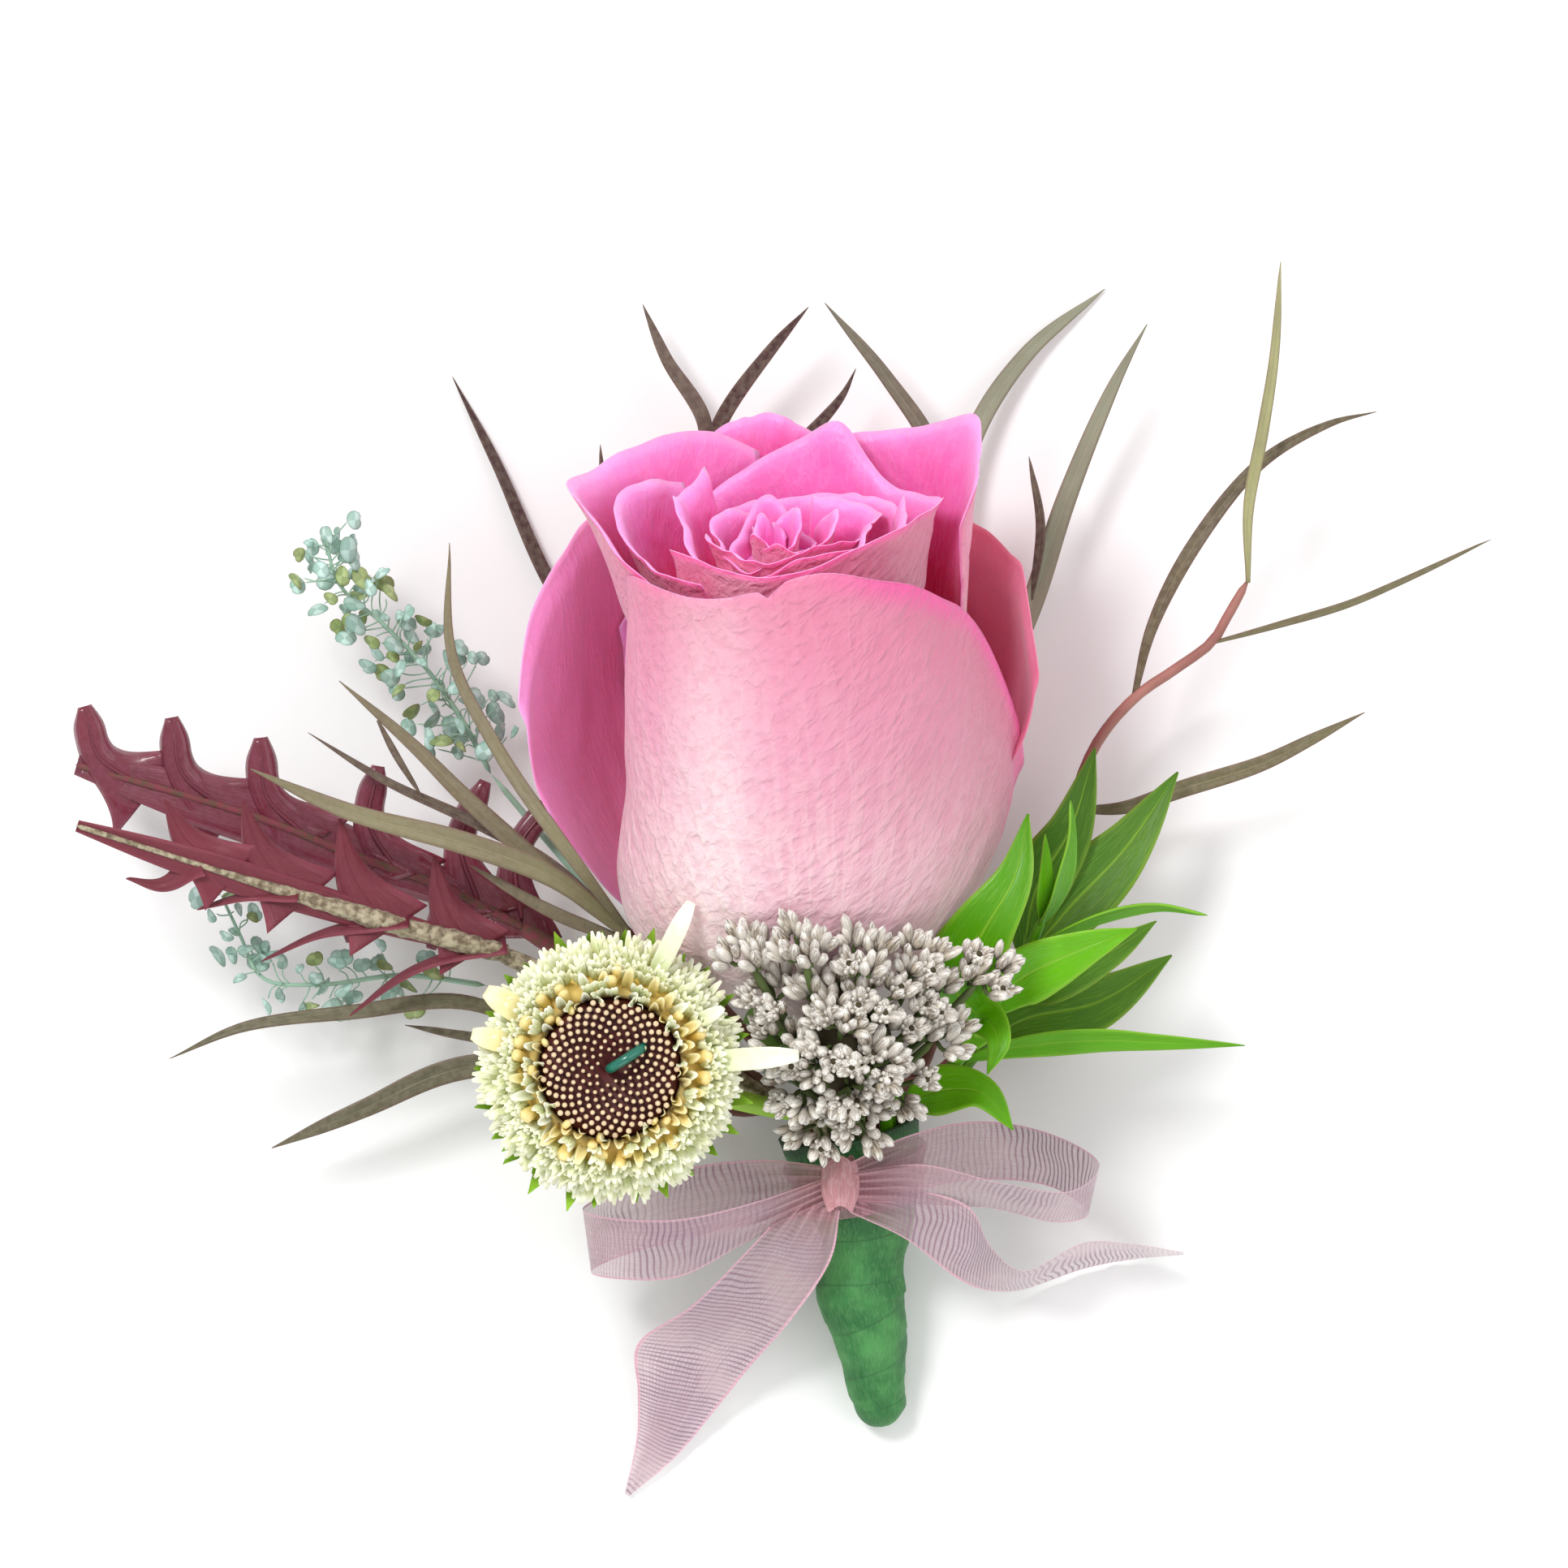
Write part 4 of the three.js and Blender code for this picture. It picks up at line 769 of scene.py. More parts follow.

# at: degrees round the axis; half: half the width in degrees; foot: height where it leaves the bud;
# rim: heights of its upper edge; out: how far it stands off the bud there; base: radius at its foot,
# else the bud's; swell: bulge at its foot; stand: from which height it leaves the bud, and over how
# much; slant: degrees that its left edge leans in towards the rim; tone: 1 for a pale outer face,
# 1.5 for a pale outer face and an inner face painted lighter, as painted light against its shade, 0 for
# a petal whose inner face is painted dusty pink, as painted shade; curl: how far the rim rolls
# outwards; wave: how ruffled it is; peaks: place, width and height of points in its rim, below 0 for
# a nick.
PETALS = [
    dict(at=6, half=90, foot=0.4, slant=14, swell=[3.8, 1.2, 2.4], tone=1, curl=0.5, wave=0.3,
         rim=[50.3, 53, 53.3, 54.4, 56, 53.5, 49.4, 42.6, 25],
         out=[-1.6, -0.4, 0.4, 0.8, 1, 1, 1.2, 2, 4.6], peaks=[(-0.17, 0.03, -1.2)]),
    dict(at=-133, half=50, foot=0.4, swell=[0.5, 1.6, 0.5], tone=1.5, curl=0.8, wave=0.4,
         rim=[40, 43, 45, 47, 48.5, 49.3, 48.6, 45, 36],
         out=[5.6, 5.1, 4.6, 4.2, 4, 4.2, 4.6, 6.1, 8]),
    dict(at=134, half=46, foot=0.4, stand=(14, 20), swell=[0.5, 1.6, 0.5], tone=0, curl=0.6, wave=0.4,
         rim=[35, 43, 44.6, 45.8, 46.4, 46.4, 45.6, 44, 42],
         out=[6.4, 6.3, 5.6, 5, 4.8, 4.6, 4.5, 4.5, 4.5]),
    dict(at=180, half=50, foot=0.4, swell=[2, 6.5, 2], tone=1, curl=0.4, wave=0.3,
         rim=[36, 46, 49, 46, 36], out=[3, 3.2, 3.4, 3.2, 3]),
    dict(at=-112, half=62, foot=34, base=13.6, tone=0.7, curl=0.5, wave=0.3,
         rim=[52.8, 55.2, 56.4, 56.5, 56.6, 57.6, 56.8, 54.4, 51.8],
         out=[-1, -0.6, -0.1, 1.3, 2.1, 3.3, 2.2, 0.8, -0.8]),
    dict(at=-172, half=20, foot=42, base=17, tone=0.5, curl=0.2, wave=0.3,
         rim=[53.5, 56, 55.2, 54.6, 51.5], out=[2, 2, 2, 2, 2]),
    dict(at=128, half=44, foot=34, base=17.2, tone=0.6, curl=0.4, wave=0.2,
         rim=[53.6, 55.8, 56.8, 58.6, 57.2, 55.8, 54.6, 53.4, 52],
         out=[0.8, 2.2, 3.2, 4.8, 3.8, 2.8, 2, 1.4, 1]),
    dict(at=158, half=53, foot=40, base=12, tone=0.5, curl=0.3, wave=0.3,
         rim=[52.1, 51.6, 51.8, 53.8, 56.4, 54, 53, 52, 51],
         out=[-1, -1.5, -1.8, -1.5, -1, -1.5, -2.4, -3, -3.5]),
    dict(at=-85, half=55, foot=40, base=12, tone=0.6, curl=0.4, wave=0.35,
         rim=[53, 54.4, 54.9, 54.6, 54.2, 53.8, 54, 53.6, 53],
         out=[-3, -2.4, -1.8, -1.4, -1.4, -1.4, -1.3, -1.3, -1.4]),
    dict(at=14, half=68, foot=36, base=12.6, tone=0.9, curl=0.6, wave=0.25,
         rim=[54, 54.6, 54.8, 55, 55.8, 56.5, 56.4, 56.2, 56],
         out=[-3.8, -3.2, -2.6, -2, -1.7, -1.7, -1.9, -1.7, -1.1]),
    dict(at=38, half=64, foot=42, base=9.8, tone=0.4, curl=0.4, wave=0.5,
         rim=[52.8, 54.2, 54.6, 54.4, 54], out=[-5.4, -4.4, -4, -4.2, -5],
         peaks=[(-0.5, 0.2, 0.8), (0.35, 0.1, -0.8)]),
    dict(at=160, half=56, foot=40, base=9, tone=0.3, curl=0.3, wave=0.4,
         rim=[52.2, 51.4, 51, 50.2, 49.6], out=[-5.6, -5.4, -5.6, -6.2, -7.4]),
    dict(at=-84, half=52, foot=42, base=7.6, tone=0.7, curl=0.5, wave=0.35,
         rim=[55.8, 55.2, 54.2, 53, 52.8], out=[-7, -7.2, -7.2, -7, -6], peaks=[(-0.2, 0.14, 1.4)]),
    dict(at=92, half=66, foot=43, base=6.4, tone=0.35, curl=0.5, wave=0.6,
         rim=[52.6, 52.8, 52.6, 52, 51.4], out=[-7.4, -8, -8, -7.6, -8.6]),
    dict(at=-6, half=74, foot=43, base=6, tone=0.45, curl=0.5, wave=0.5,
         rim=[52.4, 52.8, 52.8, 53.2, 53], out=[-10.4, -9.8, -9.2, -9, -9.4]),
]
SWIRL = 6  # ruffled petals closed round each other in the middle
SWIRL_R = 6.2
SWIRL_SHRINK = 0.76
SWIRL_TOP = 52.8
SWIRL_ASIDE = -0.6  # the eye of the swirl lies to the left of the bud's axis


def swirl_petals():
    """The innermost petals: each a little smaller than the last, one side tucked under the next."""
    draw = random.Random(12).random
    for number in range(SWIRL):
        radius = SWIRL_R * SWIRL_SHRINK**number
        top = SWIRL_TOP - 0.1 * number
        yield dict(
            at=-85 + degrees(GOLDEN_ANGLE) * number,
            half=70 + 5 * number + 16 * draw(),
            foot=43,
            base=radius * 0.8,
            rim=[top + 2.4 * (draw() - 0.5) - 0.5 * abs(k - 2) for k in range(5)],
            out=[radius * (0.84 + 0.36 * k / 4) - BUD_RADII[-1] for k in range(5)],
            aside=SWIRL_ASIDE * (1 - radius / SWIRL_R),
            tone=0.2 + 0.8 * draw(),
            curl=0.35,
            wave=0.45 * radius / SWIRL_R + 0.12,
            peaks=[(1.6 * draw() - 0.8, 0.16, 1.5 * draw()), (1.6 * draw() - 0.8, 0.08, -1.2 * draw())],
        )


def rose_point(height, radius, bearing):
    """A point round the rose's axis: degrees from its front towards its right."""
    middle = ROSE_BASE + ROSE_AXIS * height
    return ringed(middle, ROSE_FRONT, ROSE_RIGHT, radians(bearing), radius)


def petal_point(petal, number, u, v):
    """A petal's middle surface: u from its foot to its rim, v across it, with its fine waves."""
    across = (v + 1) / 2
    outer = petal["foot"] < 1
    top = smooth(petal["rim"], across)
    for place, width, rise in petal.get("peaks", ()):
        top += rise * exp(-(((v - place) / width) ** 2))
    height = lerp(petal["foot"], top, u)
    narrow = 0.62 + 0.38 * ease(u / 0.35) if outer else 1
    out = smooth(petal["out"], across)
    if outer:
        stand_from, stand_over = petal.get("stand", (STAND_FROM, STAND_OVER))
        radius = smooth(BUD_RADII, height / BUD_HEIGHT)
        radius += out * ease((height - stand_from) / stand_over)
        swell = smooth(petal["swell"], across) * ease(height / SWELL_FULL_AT)
        radius += swell * (1 - 0.8 * ease((height - SWELL_FULL_AT) / 20))
    else:
        radius = lerp(petal["base"], BUD_RADII[-1] + out, u**1.4)
    radius += petal["wave"] * ease((u - 0.4) / 0.6) * sin(6.5 * v + number * 1.9)
    radius += 0.25 * petal["wave"] * ease((u - 0.7) / 0.3) * sin(14 * v + number * 2.3)
    radius += petal["curl"] * ease((u - 0.92) / 0.08)
    radius += 0.2 * noise.noise(Vector((v * 7, u * 9, number * 5.0)))
    near_rim = ease((u - 0.8) / 0.2)
    height += 0.5 * near_rim * sin(4.3 * v + number * 2.7)
    height += 0.2 * petal["wave"] * near_rim * sin(21 * v + number * 1.3)
    slant = petal.get("slant", 0) * u * (1 - across) ** 2
    place = rose_point(height, max(radius, 0.4), petal["at"] + petal["half"] * narrow * v + slant)
    return place + ROSE_RIGHT * petal.get("aside", 0)


def petal_edge(number, u, v):
    """How strongly a petal's rim is coloured; on the front petal only its right side and top are."""
    top = ease((u - 0.965) / 0.035)
    if number == 0:
        near = ease((u - 0.93) / 0.07) * ease((v + 0.15) / 0.5)
        return max(near, 0.8 * ease((v - 0.9) / 0.1), 0.25 * top)
    return max(top, 0.5 * ease((abs(v) - 0.965) / 0.035))


def build_rose():
    """The bloom, petal by petal, round a closed heart."""
    kit = Kit()
    heart = [(0, 0.4), (4.6, 4), (11, 12), (13.4, 24), (12, 34), (9, 44), (5, 48), (0, 49.5)]

    def heart_point(u, angle):
        radius, height = turned(heart, u)
        return rose_point(height, radius, degrees(angle))

    kit.round(32, 28, heart_point, tone=0.2, material=1)
    for number, petal in enumerate([*PETALS, *swirl_petals()]):
        steps = BIG_PETAL if petal["foot"] < 1 else SMALL_PETAL
        point_at, edge_at = partial(petal_point, petal, number), partial(petal_edge, number)
        kit.grid(*steps, point_at, petal["tone"], 0, edge_at)
    faces = [petal_outside(), petal_inside()]
    kit.finish("rose_petals", "rose_bloom", faces, sizes().petal_thickness, 1)


def build_rose_hip():
    """The hip, its sepals and the stem that goes into the handle."""
    kit = Kit()
    neck = rose_point(-5.5, 0, 0)
    stem = [neck, (3.2, -28.8, 8.9), in_mouth(0, 0, 0), in_mouth(0, 6, 0)]
    stem += [HANDLE.at(0.32), HANDLE.at(0.46)]
    kit.tube(stem, lambda u: ROSE_STEM_R, sides=12, rows=20)
    hip = [ROSE_STEM_R, 2.0, 2.6, 3.4, 4.0, 4.2, 4.1]
    kit.bud(rose_point(-6.5, 0, 0), rose_point(-0.7, 0, 0), hip, sides=20, rows=14)
    for bearing in range(20, 360, 72):
        rib = [rose_point(*spot, bearing) for spot in ((-1.8, 3), (-2.2, 5.4), (-3.6, 7.6))]
        kit.blade(rib, 2.6, "ovate", fold=0.1, steps=12, across=4, tone=0.7)
    green = plain_material("rose_green", rgb(104, 142, 62), rgb(60, 96, 36), 0.5)
    kit.finish("rose_hip", "rose_calyx", [green])


# Germini

GERMINI = Vector((-18.6, -25.2, 26))
DISC_R = 7
DISC_Z = 33.6
DISC_DOME = 1.3
BARE_STAMENS = 9  # places in the middle of the disc that carry none
WIRE_R = 0.5
GERMINI_SEAT = 102
BRACTS = 26
HEAD_R = 13.9
DISC_PROFILE = [(0, 31.2), (6.6, 31.2), (6.7, 32.4), (6.6, 33.2), (5.2, 33.8), (2.6, 33.6), (0, 32.8)]
RING_PROFILE = [(6.9, 30.6), (8.6, 29.6), (10, 30.4), (9.6, 32.2), (8.4, 32.7), (7.2, 32.6)]
RING_PROFILE.append(RING_PROFILE[0])
CUP_PROFILE = [(0, -0.4), (2, -0.2), (6, 1.2), (8.6, 2.8), (6.6, 4.2), (0, 4.4)]


def head_point(radius, angle, z):
    """A point round the germini's axis."""
    return Vector((GERMINI.x + radius * cos(angle), GERMINI.y + radius * sin(angle), z))


def build_germini_disc():
    """The dark disc and its stamens in spirals, each with a pale round tip."""
    kit = Kit()
    draw = random.Random(4).random

    def dome(u, angle):
        radius, z = turned(DISC_PROFILE, u)
        return head_point(radius, angle, z)

    kit.round(40, 24, dome, tone=0.2)
    count = sizes().stamens
    for i in range(BARE_STAMENS, count):
        share = sqrt(i / count)
        radius = (DISC_R - 0.35) * share
        angle = i * GOLDEN_ANGLE
        z = DISC_Z + DISC_DOME * (0.75 - 0.9 * (1 - share) ** 2 - 0.3 * share * share)
        height = (0.7 + 0.35 * draw()) * lerp(0.7, 1, share)
        root, tip = head_point(radius * 0.985, angle, z - 1), head_point(radius, angle, z + height)
        kit.bud(root, tip, [0.16, 0.2, 0.2, 0.18, 0.16], sides=6, rows=4, tone=share)
        bead = head_point(radius, angle, z + height + 0.34)
        tips = [r * lerp(0.6, 1.12, share) for r in (0.1, 0.25, 0.28, 0.24, 0.1)]
        kit.bud(tip - UP * 0.12, bead, tips, 7, 5, tone=draw(), material=1)
    heart_colour = colours().germini_heart
    heart = plain_material("germini_heart", heart_colour, rgb(44, 10, 10), 0.6, blotch=500.0)
    tips = bud_material("stamen_tips", rgb(110, 62, 40), rgb(186, 148, 106), rgb(232, 210, 172), 0.5)
    kit.finish("germini_stamens", "germini_disc", [heart, tips])


# Rows of plump gold florets round the disc, then of frilled ones to the edge: radius of root and tip,
# height of root and tip, count and width
GOLD_ROWS = [
    (6.9, 7, 32.4, 35.6, 26, 0.9), (7.1, 7.9, 32.4, 36, 28, 1.0), (7.5, 8.9, 32.2, 36.2, 32, 1.05),
    (7.8, 10, 32.0, 36.1, 32, 1.1),
]
FRILL_ROWS = [
    (8.7, 10.4, 31.8, 35.8, 40, 1.0), (9.0, 11.0, 31.4, 35.4, 44, 1.0),
    (8.8, 11.6, 31.0, 35.0, 46, 1.05), (9.2, 12.5, 30.6, 34.0, 50, 1.05),
    (9.4, 13.2, 30.2, 32.8, 52, 1.1), (9.6, 13.8, 29.8, 31.4, 54, 1.1),
]
# Longer petals that stick out of the edge: degrees, reach, height of the tip, width and material
LONG_PETALS = [
    (148, 14.4, 33.4, 2.5, 4), (166, 14, 33.6, 2.2, 4), (64, 18.2, 35.6, 1.9, 2),
    (4, 18.6, 36.4, 2.2, 2), (28, 12.6, 36.8, 1.5, 2),
]
PLUMP = [0.2, 0.32, 0.46, 0.56, 0.6, 0.42]
# The florets' materials: name, colours of foot, body and tip, and roughness; the body that is None is
# a setting
FLORET_COLOURS = [
    ("germini_gold", (196, 154, 62), (236, 200, 98), (246, 228, 160), 0.5),
    ("germini_cream", (208, 206, 70), None, (254, 255, 236), 0.55),
    ("germini_pale", (206, 222, 150), (236, 240, 204), (250, 250, 236), 0.5),
    ("germini_yellow", (222, 190, 92), (244, 226, 146), (252, 242, 192), 0.5),
    ("germini_beige", (206, 190, 110), (238, 226, 160), (248, 242, 204), 0.5),
]


def frill(kit, root, tip, width, draw):
    """A floret whose end is cut into narrow curled lobes."""
    spread = (tip - root).cross(UP).normalized()
    throat = root.lerp(tip, 0.55)
    for k in range(3):
        aside = (k - 1 + 0.5 * (draw() - 0.5)) * 0.5 * width
        end = tip + spread * aside * 1.2 + UP * 0.7 * (draw() - 0.5)
        end -= (tip - root) * 0.25 * draw()
        rib = [root, throat + spread * aside * 0.5 + UP * 0.3, end]
        kit.blade(rib, 0.8 * width, "lobe", 30 * (k - 1), 0.5, 5, 2, draw(), 1)


def gold_floret(kit, root, tip, width, draw):
    """A floret of the inner rows: closed and plump, frilled, or a short petal."""
    size = width * (0.75 + 0.4 * draw())
    kind = draw()
    if kind < 0.2:
        kit.bud(root, tip - UP * 0.4, [r * size for r in PLUMP], 7, 7, tone=draw(), flat=0.6)
    elif kind < 0.45:
        frill(kit, root, tip + UP * 0.3, width, draw)
    else:
        rib = [root, root.lerp(tip, 0.6) + UP * 0.4, tip]
        roll = 50 * (draw() - 0.5)
        kit.blade(rib, width, "petal", roll, 0.7, 6, 4, draw(), 2 if kind > 0.86 else 3)


def build_germini_florets():
    """The rows of florets on their ring, and a few longer petals."""
    kit = Kit()
    draw = random.Random(7).random

    def ring_point(u, v):
        radius, z = (smooth(column, u) for column in zip(*RING_PROFILE))
        return head_point(radius, pi * v, z)

    kit.grid(48, 14, ring_point, 0.0)
    for row, (inner, outer, low, high, count, width) in enumerate(GOLD_ROWS):
        for i in range(count):
            angle = tau * (i + 0.8 * draw()) / count + row
            rise = high + 0.9 * (draw() - 0.6)
            tip = head_point(outer * (0.96 + 0.06 * draw()), angle + 0.1 * (draw() - 0.5), rise)
            gold_floret(kit, head_point(inner, angle, low), tip, width, draw)
    for row, (inner, outer, low, high, count, width) in enumerate(FRILL_ROWS):
        for i in range(count):
            angle = tau * (i + 0.7 * draw()) / count + row
            turn = angle + 0.08 * (draw() - 0.5)
            tip = head_point(outer * (0.95 + 0.06 * draw()), turn, high + 0.8 * (draw() - 0.5))
            frill(kit, head_point(inner, angle, low), tip, width * (0.85 + 0.3 * draw()), draw)
    for bearing, reach, high, width, material in LONG_PETALS:
        angle = radians(bearing)
        bend = head_point(lerp(9, reach, 0.5), angle, lerp(31.6, high, 0.5) + 1.2)
        rib = [head_point(9, angle, 31.6), bend, head_point(reach, angle, high)]
        kit.blade(rib, width, "petal", 0, 0.35, 12, 6, 0.5, material, ripple=0.15)
    materials = [
        bud_material(
            name, rgb(*foot), rgb(*body) if body else colours().germini_petal, rgb(*tip), roughness
        )
        for name, foot, body, tip, roughness in FLORET_COLOURS
    ]
    kit.finish("germini_petals", "germini_florets", materials, 0.00012)


def build_germini_calyx():
    """The green cup, its pointed bracts and the hollow stem."""
    kit = Kit()
    draw = random.Random(9).random

    def cup_point(u, angle):
        radius, z = turned(CUP_PROFILE, u, straight)
        return head_point(radius, angle, GERMINI.z + z)

    kit.round(36, 20, cup_point, tone=0.4)
    for row, (reach, low, rise) in enumerate(((HEAD_R + 0.6, 27.2, 3.6), (HEAD_R - 0.6, 27.0, 1.2))):
        for i in range(BRACTS):
            angle = tau * (i + 0.5 * row + 0.4 * draw()) / BRACTS
            rib = [
                head_point(6.4, angle, low),
                head_point(11, angle, low + 0.3 * rise),
                head_point(reach * (0.92 + 0.1 * draw()), angle, low + rise + draw()),
            ]
            kit.blade(rib, 2.4, "ovate", fold=0.2, steps=10, across=4, tone=draw())
    under = Vector((GERMINI.x, GERMINI.y, 21))
    bends = [(-2, -29.4, 16.2), (-10, -27.4, 18.2), (-16.4, -25.7, 18.8), under, GERMINI + UP * 0.4]
    kit.tube(route(GERMINI_SEAT, bends), taper(0.7, 1.5), sides=10, rows=30)
    green = plain_material("bract_green", rgb(150, 196, 60), rgb(84, 136, 30), 0.5)
    kit.finish("germini_bracts", "germini_calyx", [green])


def build_wire():
    """The enamelled wire that rises through the head, bends over and goes back into the disc."""
    kit = Kit()
    x, y = GERMINI.x, GERMINI.y
    line = [
        (x, y, GERMINI.z - 3.4), (x, y, GERMINI.z), (x, y, DISC_Z - 1),
        (x + 0.2, y + 0.1, DISC_Z + 1.4), (x + 1.5, y + 0.9, DISC_Z + 2.3),
        (x + 3, y + 1.9, DISC_Z + 1.5), (x + 3.3, y + 2.1, DISC_Z - 0.4),
        (x + 3.3, y + 2.1, DISC_Z - 2.4),
    ]
    kit.tube(line, lambda u: WIRE_R, sides=14, rows=60)
    coat = {"Coat_Weight": 0.5, "Coat_Roughness": 0.15}
    enamel = plain_material("wire_enamel", rgb(20, 116, 96), rgb(8, 70, 58), 0.25, **coat)
    kit.finish("wire_hook", "germini_wire", [enamel])


# Rice flower

RICE_FORK = Vector((4.2, -28.4, 17.5))
RICE_HEADS = [  # place and size
    (-5, -14.6, 37.6, 2.6), (0.4, -14, 38.8, 2.7), (6, -15, 37.2, 2.8), (11.4, -15.2, 34, 2.7),
    (-2.4, -18.6, 34, 3), (2.6, -18.4, 35.2, 3), (7.6, -18.8, 34.8, 3), (12.6, -18.8, 32, 2.6),
    (-1.6, -23, 31.8, 3), (3.4, -22.8, 33.4, 3), (8.6, -23, 32.2, 3), (13.4, -22.4, 29.2, 2.6),
    (0.2, -27.2, 28.8, 2.8), (4.8, -27, 30.4, 3), (9.8, -27, 28.8, 2.8), (1.8, -30.8, 25.2, 2.4),
    (6, -30.2, 26.6, 2.4), (4, -20.8, 34.8, 2.6), (7, -25, 33.4, 2.6), (1.6, -24.8, 32.6, 2.4),
    (18, -16.4, 32, 3.2),
]
CLOSED_BUD = [0.16, 0.3, 0.4, 0.46, 0.44, 0.34, 0.16]
RICE_MIDDLE = Vector((4.4, -23, 0))
SPRIGS = 4  # short branches in each head
OPEN_SHARE = 0.5  # of the sprigs, how many carry an open bud
OPEN_BRACTS = 9


def open_head(kit, root, out, draw):
    """An open bud: a cup of stiff pointed bracts round a small dark middle."""
    turn = out.to_track_quat("Z", "Y")
    rim = root + out * 1.7
    kit.bud(root, rim, [0.3, 0.62, 0.8, 0.82, 0.6], sides=8, rows=6, tone=0.35)
    spin = draw() * tau
    for k in range(OPEN_BRACTS):
        angle = spin + tau * k / OPEN_BRACTS
        way = turn @ Vector((cos(angle), sin(angle), 0))
        foot, tip = root + out * 0.8 + way * 0.7, rim + out * 0.35 + way * (1.05 + 0.15 * draw())
        kit.bud(foot, tip, [0.16, 0.24, 0.26, 0.2, 0.05], 5, 5, tone=0.7 + 0.3 * draw())
    kit.bud(rim - out * 0.3, rim + out * 0.14, [0.2, 0.34, 0.3, 0.14], 7, 4, tone=0.2, material=1)


def build_rice_flower():
    """Dense heads of dried buds on short branches of one stem."""
    kit = Kit()
    draw = random.Random(21).random
    stem = route(76, [(5.4, -30, 14.4), RICE_FORK])
    kit.tube(stem, taper(STEM_R, 0.8), sides=10, rows=16, material=2)
    kit.bud((4.2, -29.4, 16), (4.6, -18.4, 32), [1, 3.2, 4.6, 4.4, 2.5], 14, 12, tone=0.1, material=1)
    count = sizes().buds
    for x, y, z, size in RICE_HEADS:
        middle = Vector((x, y, z))
        bend = RICE_FORK.lerp(middle, 0.5) + Vector((0, -0.8, 0.6))
        kit.tube([RICE_FORK, bend, middle - UP], lambda u: 0.45, sides=6, rows=10, material=2)
        for sprig in range(SPRIGS):
            turn = tau * (sprig + 0.6 * draw()) / SPRIGS
            foot = middle + Vector((cos(turn), sin(turn), 0)) * size * 0.5 - UP * size * 0.6
            lean = (middle - RICE_MIDDLE) * 0.09
            lean += Vector((0.5 * cos(turn), 0.5 * sin(turn) + 0.4, 0))
            lean = Vector((lean.x, lean.y, 0.62)).normalized()
            kit.tube([middle - UP * 2, foot, foot + lean], lambda u: 0.25, 5, 5, material=2)
            if draw() < OPEN_SHARE:
                open_head(kit, foot + lean * 0.8, (lean + UP).normalized(), draw)
            for i in range(count):
                share = (i + 0.5) / count
                angle = i * GOLDEN_ANGLE + draw()
                side = Vector((cos(angle), sin(angle), 0.3)) * (0.15 + 0.6 * share)
                out = (lean + side).normalized()
                root = foot + out * (0.3 + 0.6 * draw()) + side * 0.5
                tip = root + out * (2.1 + 1.1 * draw())
                girth = 1 + 0.4 * draw()
                kit.bud(root, tip, [r * girth for r in CLOSED_BUD], 6, 6, tone=draw(), spin=angle)
    # each bud dark brown at its foot: brownish bases, and partly painted shade in the gaps between buds
    buds = bud_material("rice_buds", rgb(74, 54, 38), colours().rice, rgb(246, 242, 234), 0.8, 0.85)
    dark = plain_material("rice_shade", rgb(70, 62, 42), rgb(36, 32, 22), 0.9)
    twig = plain_material("rice_twig", rgb(84, 100, 52), rgb(52, 58, 30), 0.8)
    kit.finish("rice_flower_buds", "rice_flower", [buds, dark, twig])


# Foliage. seat: where the stem stands in the handle's mouth, in degrees. Each leaf is its tone, width,
# roll in degrees and the points of its midrib.

RUSCUS = {
    "ruscus_front": dict(
        name="ruscus_bright", seat=25, fold=0.2, dark=(70, 136, 10), roughness=0.3,
        stem=[
            (11, -28.6, 12.2), (15.4, -24.8, 15.4), (19, -20.4, 18), (22, -15, 19.6), (24.2, -10, 20.4),
        ],
        leaves=[
            (0.3, 7.2, -12, (18.6, -21, 18), (15.4, -17, 24.2), (18.2, -11.6, 27.4), (21.2, -6.4, 28),
             (22.5, -0.2, 27)),
            (0.55, 3.6, 66, (23.6, -11.4, 20.2), (25.3, -8.3, 21.5), (26.7, -2.6, 22.6),
             (26.7, 1.1, 23)),
            (0.8, 1.9, 30, (23.8, -10.8, 20.4), (24.2, -7, 22.6), (24.2, -2.2, 24.6)),
            (0.75, 3.4, 70, (22.6, -13.6, 19.8), (29.6, -10.3, 22.4), (35.1, -9.3, 23.4),
             (40.2, -10.2, 23)),
            (1, 5.8, 10, (19.2, -20, 18), (21.4, -16.8, 21.4), (27.6, -13.6, 24), (33.2, -11.5, 25)),
            (0.6, 2.7, 24, (15.8, -24.6, 15.6), (21.8, -23.2, 16.4), (29.6, -22.5, 16.4),
             (35.1, -22.7, 15.6), (44, -23.1, 14)),
            (1, 4.2, 0, (16.4, -23.6, 16), (18.2, -20.4, 20.6), (19.6, -22.6, 23), (18.5, -25.9, 23.4)),
            (0.95, 5, -14, (10.4, -29, 12), (13.4, -27.7, 15), (18, -27.8, 17.6), (21.1, -31.4, 18)),
        ],
    ),
    "ruscus_back": dict(
        name="ruscus_dark", seat=0, fold=0.14, dark=(54, 98, 20), roughness=0.42,
        stem=[(12, -29, 9.6), (17.4, -24, 10.6), (21.4, -17, 11.6), (22.6, -10.4, 12)],
        leaves=[
            (0.3, 6, 8, (22, -14.6, 11.8), (23.4, -7.6, 13), (26.8, -1.6, 14), (29.2, 6.3, 14.4)),
            (0.55, 6.8, -8, (22, -15, 11.8), (26.6, -9.6, 12.6), (32.4, -3.4, 12.4), (37.4, 3.9, 11.6)),
            (0.8, 5, 12, (20.6, -18.6, 11.4), (25, -16.4, 15.6), (31, -13.6, 17.4), (35.2, -10.8, 18)),
            (0.75, 6.4, 0, (18.4, -22.6, 11), (22.6, -20.4, 12.4), (29.6, -18.8, 12.8),
             (36.8, -14.2, 12)),
        ],
    ),
}


